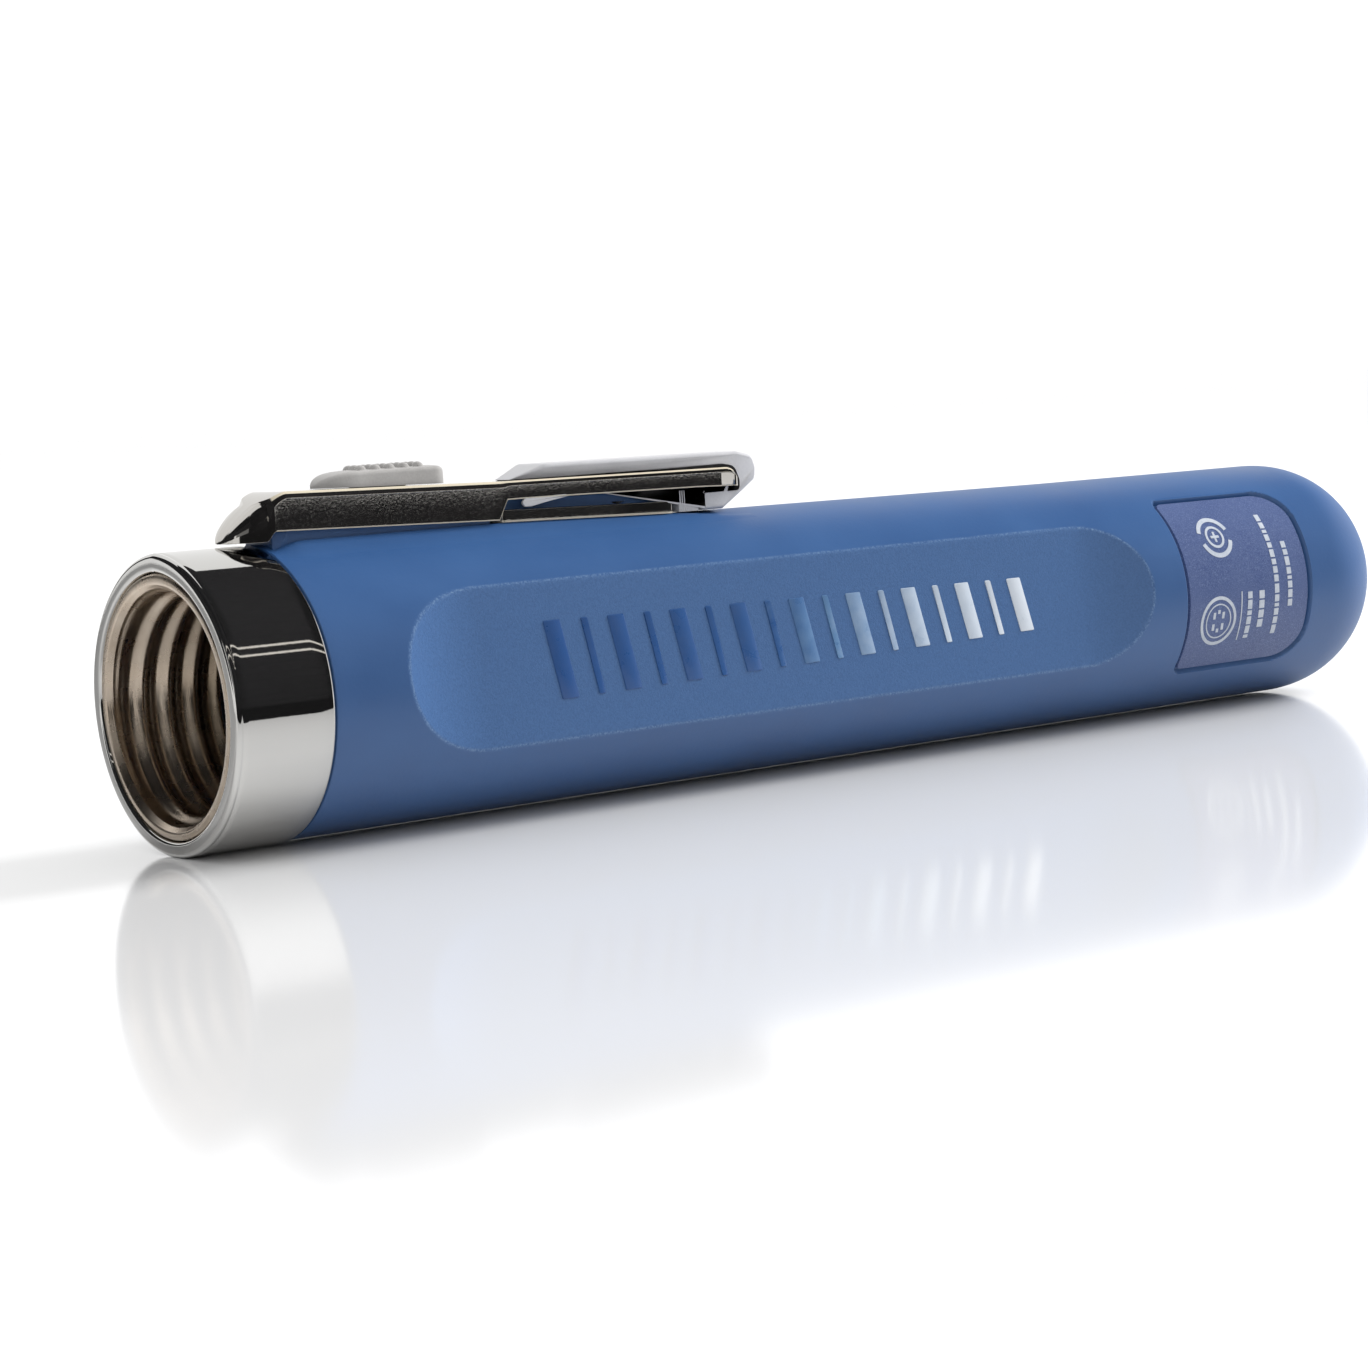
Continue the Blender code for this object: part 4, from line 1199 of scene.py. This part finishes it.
def label_film():
    """Matt violet-blue film with a fine metallic fleck."""
    s = Surface("label_film", 0.0, IOR=1.45)
    fleck = s.noise(0.11, 3.0, roughness=0.8)
    cloud = s.noise(4.0, 3.0)
    base = s.ramp(fleck, [(0.32, srgb(50, 64, 108)), (0.5, srgb(64, 80, 122)), (0.7, srgb(108, 122, 154))])
    s.link("Base Color", s.mix(s.range(cloud, 0.35, 0.65, 0.0, 0.35), base, srgb(78, 94, 134)))
    s.link("Roughness", s.range(cloud, 0.3, 0.7, 0.34, 0.46))
    s.relief([(fleck, 0.006)])
    return s.material


CELL_PITCH = 50.8
COPPER_LENGTH = 13.0


def cell_jacket():
    """Printed shrink film: a dark body with a copper band round the positive end."""
    s = Surface("cell_jacket", 0.0)
    along = s.node("SeparateXYZ", {"Vector": s.place}).outputs["X"]
    first_cell = (MOUTH_X + start_of("front_cell_wrap")) * MM
    from_cell = s.math("MODULO", s.math("SUBTRACT", along, first_cell), CELL_PITCH * MM)
    cloud = s.noise(3.0, 3.0)
    band = s.range(from_cell, (COPPER_LENGTH - 0.2) * MM, COPPER_LENGTH * MM)
    copper = s.ramp(cloud, [(0.3, srgb(176, 112, 62)), (0.7, srgb(196, 132, 78))])
    dark = s.ramp(cloud, [(0.3, srgb(26, 27, 30)), (0.7, srgb(38, 39, 43))])
    s.link("Base Color", s.mix(band, copper, dark))
    s.link("Roughness", s.range(cloud, 0.3, 0.7, 0.26, 0.36))
    s.relief([(s.noise(0.4, 3.0), 0.004)])
    return s.material


def paint(piece, finish):
    piece.data.materials.clear()
    piece.data.materials.append(finish)


def write_attribute(piece, name, value):
    """A number for each vertex, worked out from (x, radius, angle) in millimetres and radians."""
    coordinates = np.array([v.co for v in piece.data.vertices])
    x = coordinates[:, 0] / MM - MOUTH_X
    y, z = coordinates[:, 1] / MM, coordinates[:, 2] / MM - AXIS_Z
    values = value(x, np.hypot(y, z), np.arctan2(-y, z))
    piece.data.attributes.new(name, "FLOAT", "POINT").data.foreach_set("value", values.astype(np.float32))


def panel_depth(x, r, angle):
    """How far a point lies under the round tube because of a side panel."""
    plain = np.array([sleeve_radius(min(a, DOME_CENTRE)) for a in x])
    cut = np.array([panel_height(a) for a in x])
    facing = np.maximum(np.cos(angle - SIDE), np.cos(angle + SIDE))
    return plain - np.where(facing > 0.3, cut / np.maximum(facing, 0.3), 99.0)


def thread_darkening(x, r, angle):
    """Darker deeper in the bore and low in the thread."""
    in_thread = (x > 0.6) * (r < 8.6)
    return np.clip(ease(x, 3.0, 10.5) * 0.9 + 0.15 * ease(r, 7.9, 8.3) * in_thread, 0, 1)


def finish_sleeve(sleeve):
    write_attribute(sleeve, "panel", lambda x, r, a: ease(panel_depth(x, r, a), 0.0, 0.08) * (r > 8))
    # edge marks the panel creases, which get a painted highlight line.
    write_attribute(sleeve, "edge", lambda x, r, a: np.exp(-(panel_depth(x, r, a) / 0.05) ** 2) * (r > 8))


# ---------------------------------------------------------------- assembly

def main():
    add_camera()
    add_floor()
    add_painted_contact_shadow()
    add_studio()

    blue = blue_plastic()
    bright = chrome("chrome_polished", srgb(200, 199, 196), (0.02, 0.05))
    cast = chrome("chrome_cast", srgb(186, 183, 178), (0.05, 0.1), 0.02)
    grey = plain_surface("grey_plastic", srgb(150, 148, 146), srgb(162, 160, 158), (0.4, 0.5))
    grey_pad = plain_surface("grey_pad", srgb(172, 172, 175), srgb(183, 183, 186), (0.36, 0.46))
    ink = plain_surface("label_ink", srgb(160, 168, 180), srgb(180, 186, 195), (0.45, 0.6), patch=0.8)
    brass = plain_surface("contact_brass", (0.62, 0.45, 0.2), (0.72, 0.54, 0.27), (0.2, 0.34), 1.0, 1.5)
    nickel = plain_surface("cell_nickel", (0.5, 0.48, 0.45), (0.62, 0.6, 0.57), (0.18, 0.3), 1.0, 1.8)
    steel = plain_surface("spring_steel", (0.44, 0.44, 0.45), (0.58, 0.58, 0.59), (0.2, 0.32), 1.0, 1.2)
    black = plain_surface("black_plastic", (0.02, 0.02, 0.021), (0.035, 0.035, 0.036), (0.4, 0.55))
    rubber = plain_surface("seal_rubber", (0.012, 0.012, 0.012), (0.022, 0.022, 0.022), (0.6, 0.75))

    sleeve = make_sleeve()
    finish_sleeve(sleeve)
    for piece in (sleeve, make_saddle()):
        paint(piece, blue)
    paint(make_collar(), bright)
    insert = make_insert()
    write_attribute(insert, "depth", thread_darkening)
    paint(insert, turned_nickel())
    paint(make_clip(), cast)
    paint(make_rail(), cast)
    for piece in make_pad():
        paint(piece, grey_pad)
    paint(make_button(), grey)
    paint(make_label(), label_film())
    paint(make_print(), ink)
    foil = emblem_finish()
    for piece in make_emblem():
        paint(piece, foil)
    paint(make_spring(), steel)

    finishes = {
        "contact_brass": brass, "nickel": nickel, "spring_steel": steel, "black_plastic": black,
        "seal_rubber": rubber, "cell_jacket": cell_jacket(), "chrome": bright, "grey_plastic": grey,
    }
    kept = {
        "insert_o_ring": "seal_rubber", "contact_strip": "contact_brass", "ground_contact": "contact_brass",
        "spring_plate": "contact_brass", "spring_cap": "contact_brass", "clip_base": "spring_steel",
        "rail_screw_front": "spring_steel", "rail_screw_rear": "spring_steel", "base_screw": "spring_steel",
        "detent_leaf": "spring_steel", "switch_carrier": "black_plastic", "switch_wiper": "contact_brass",
    }
    for cell in ("front_cell", "rear_cell"):
        kept.update({cell + "_can": "nickel", cell + "_cap": "nickel"})
        kept.update({cell + "_seal": "black_plastic", cell + "_wrap": "cell_jacket"})
    for node, slot in kept.items():
        paint(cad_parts[node], finishes[slot])


main()
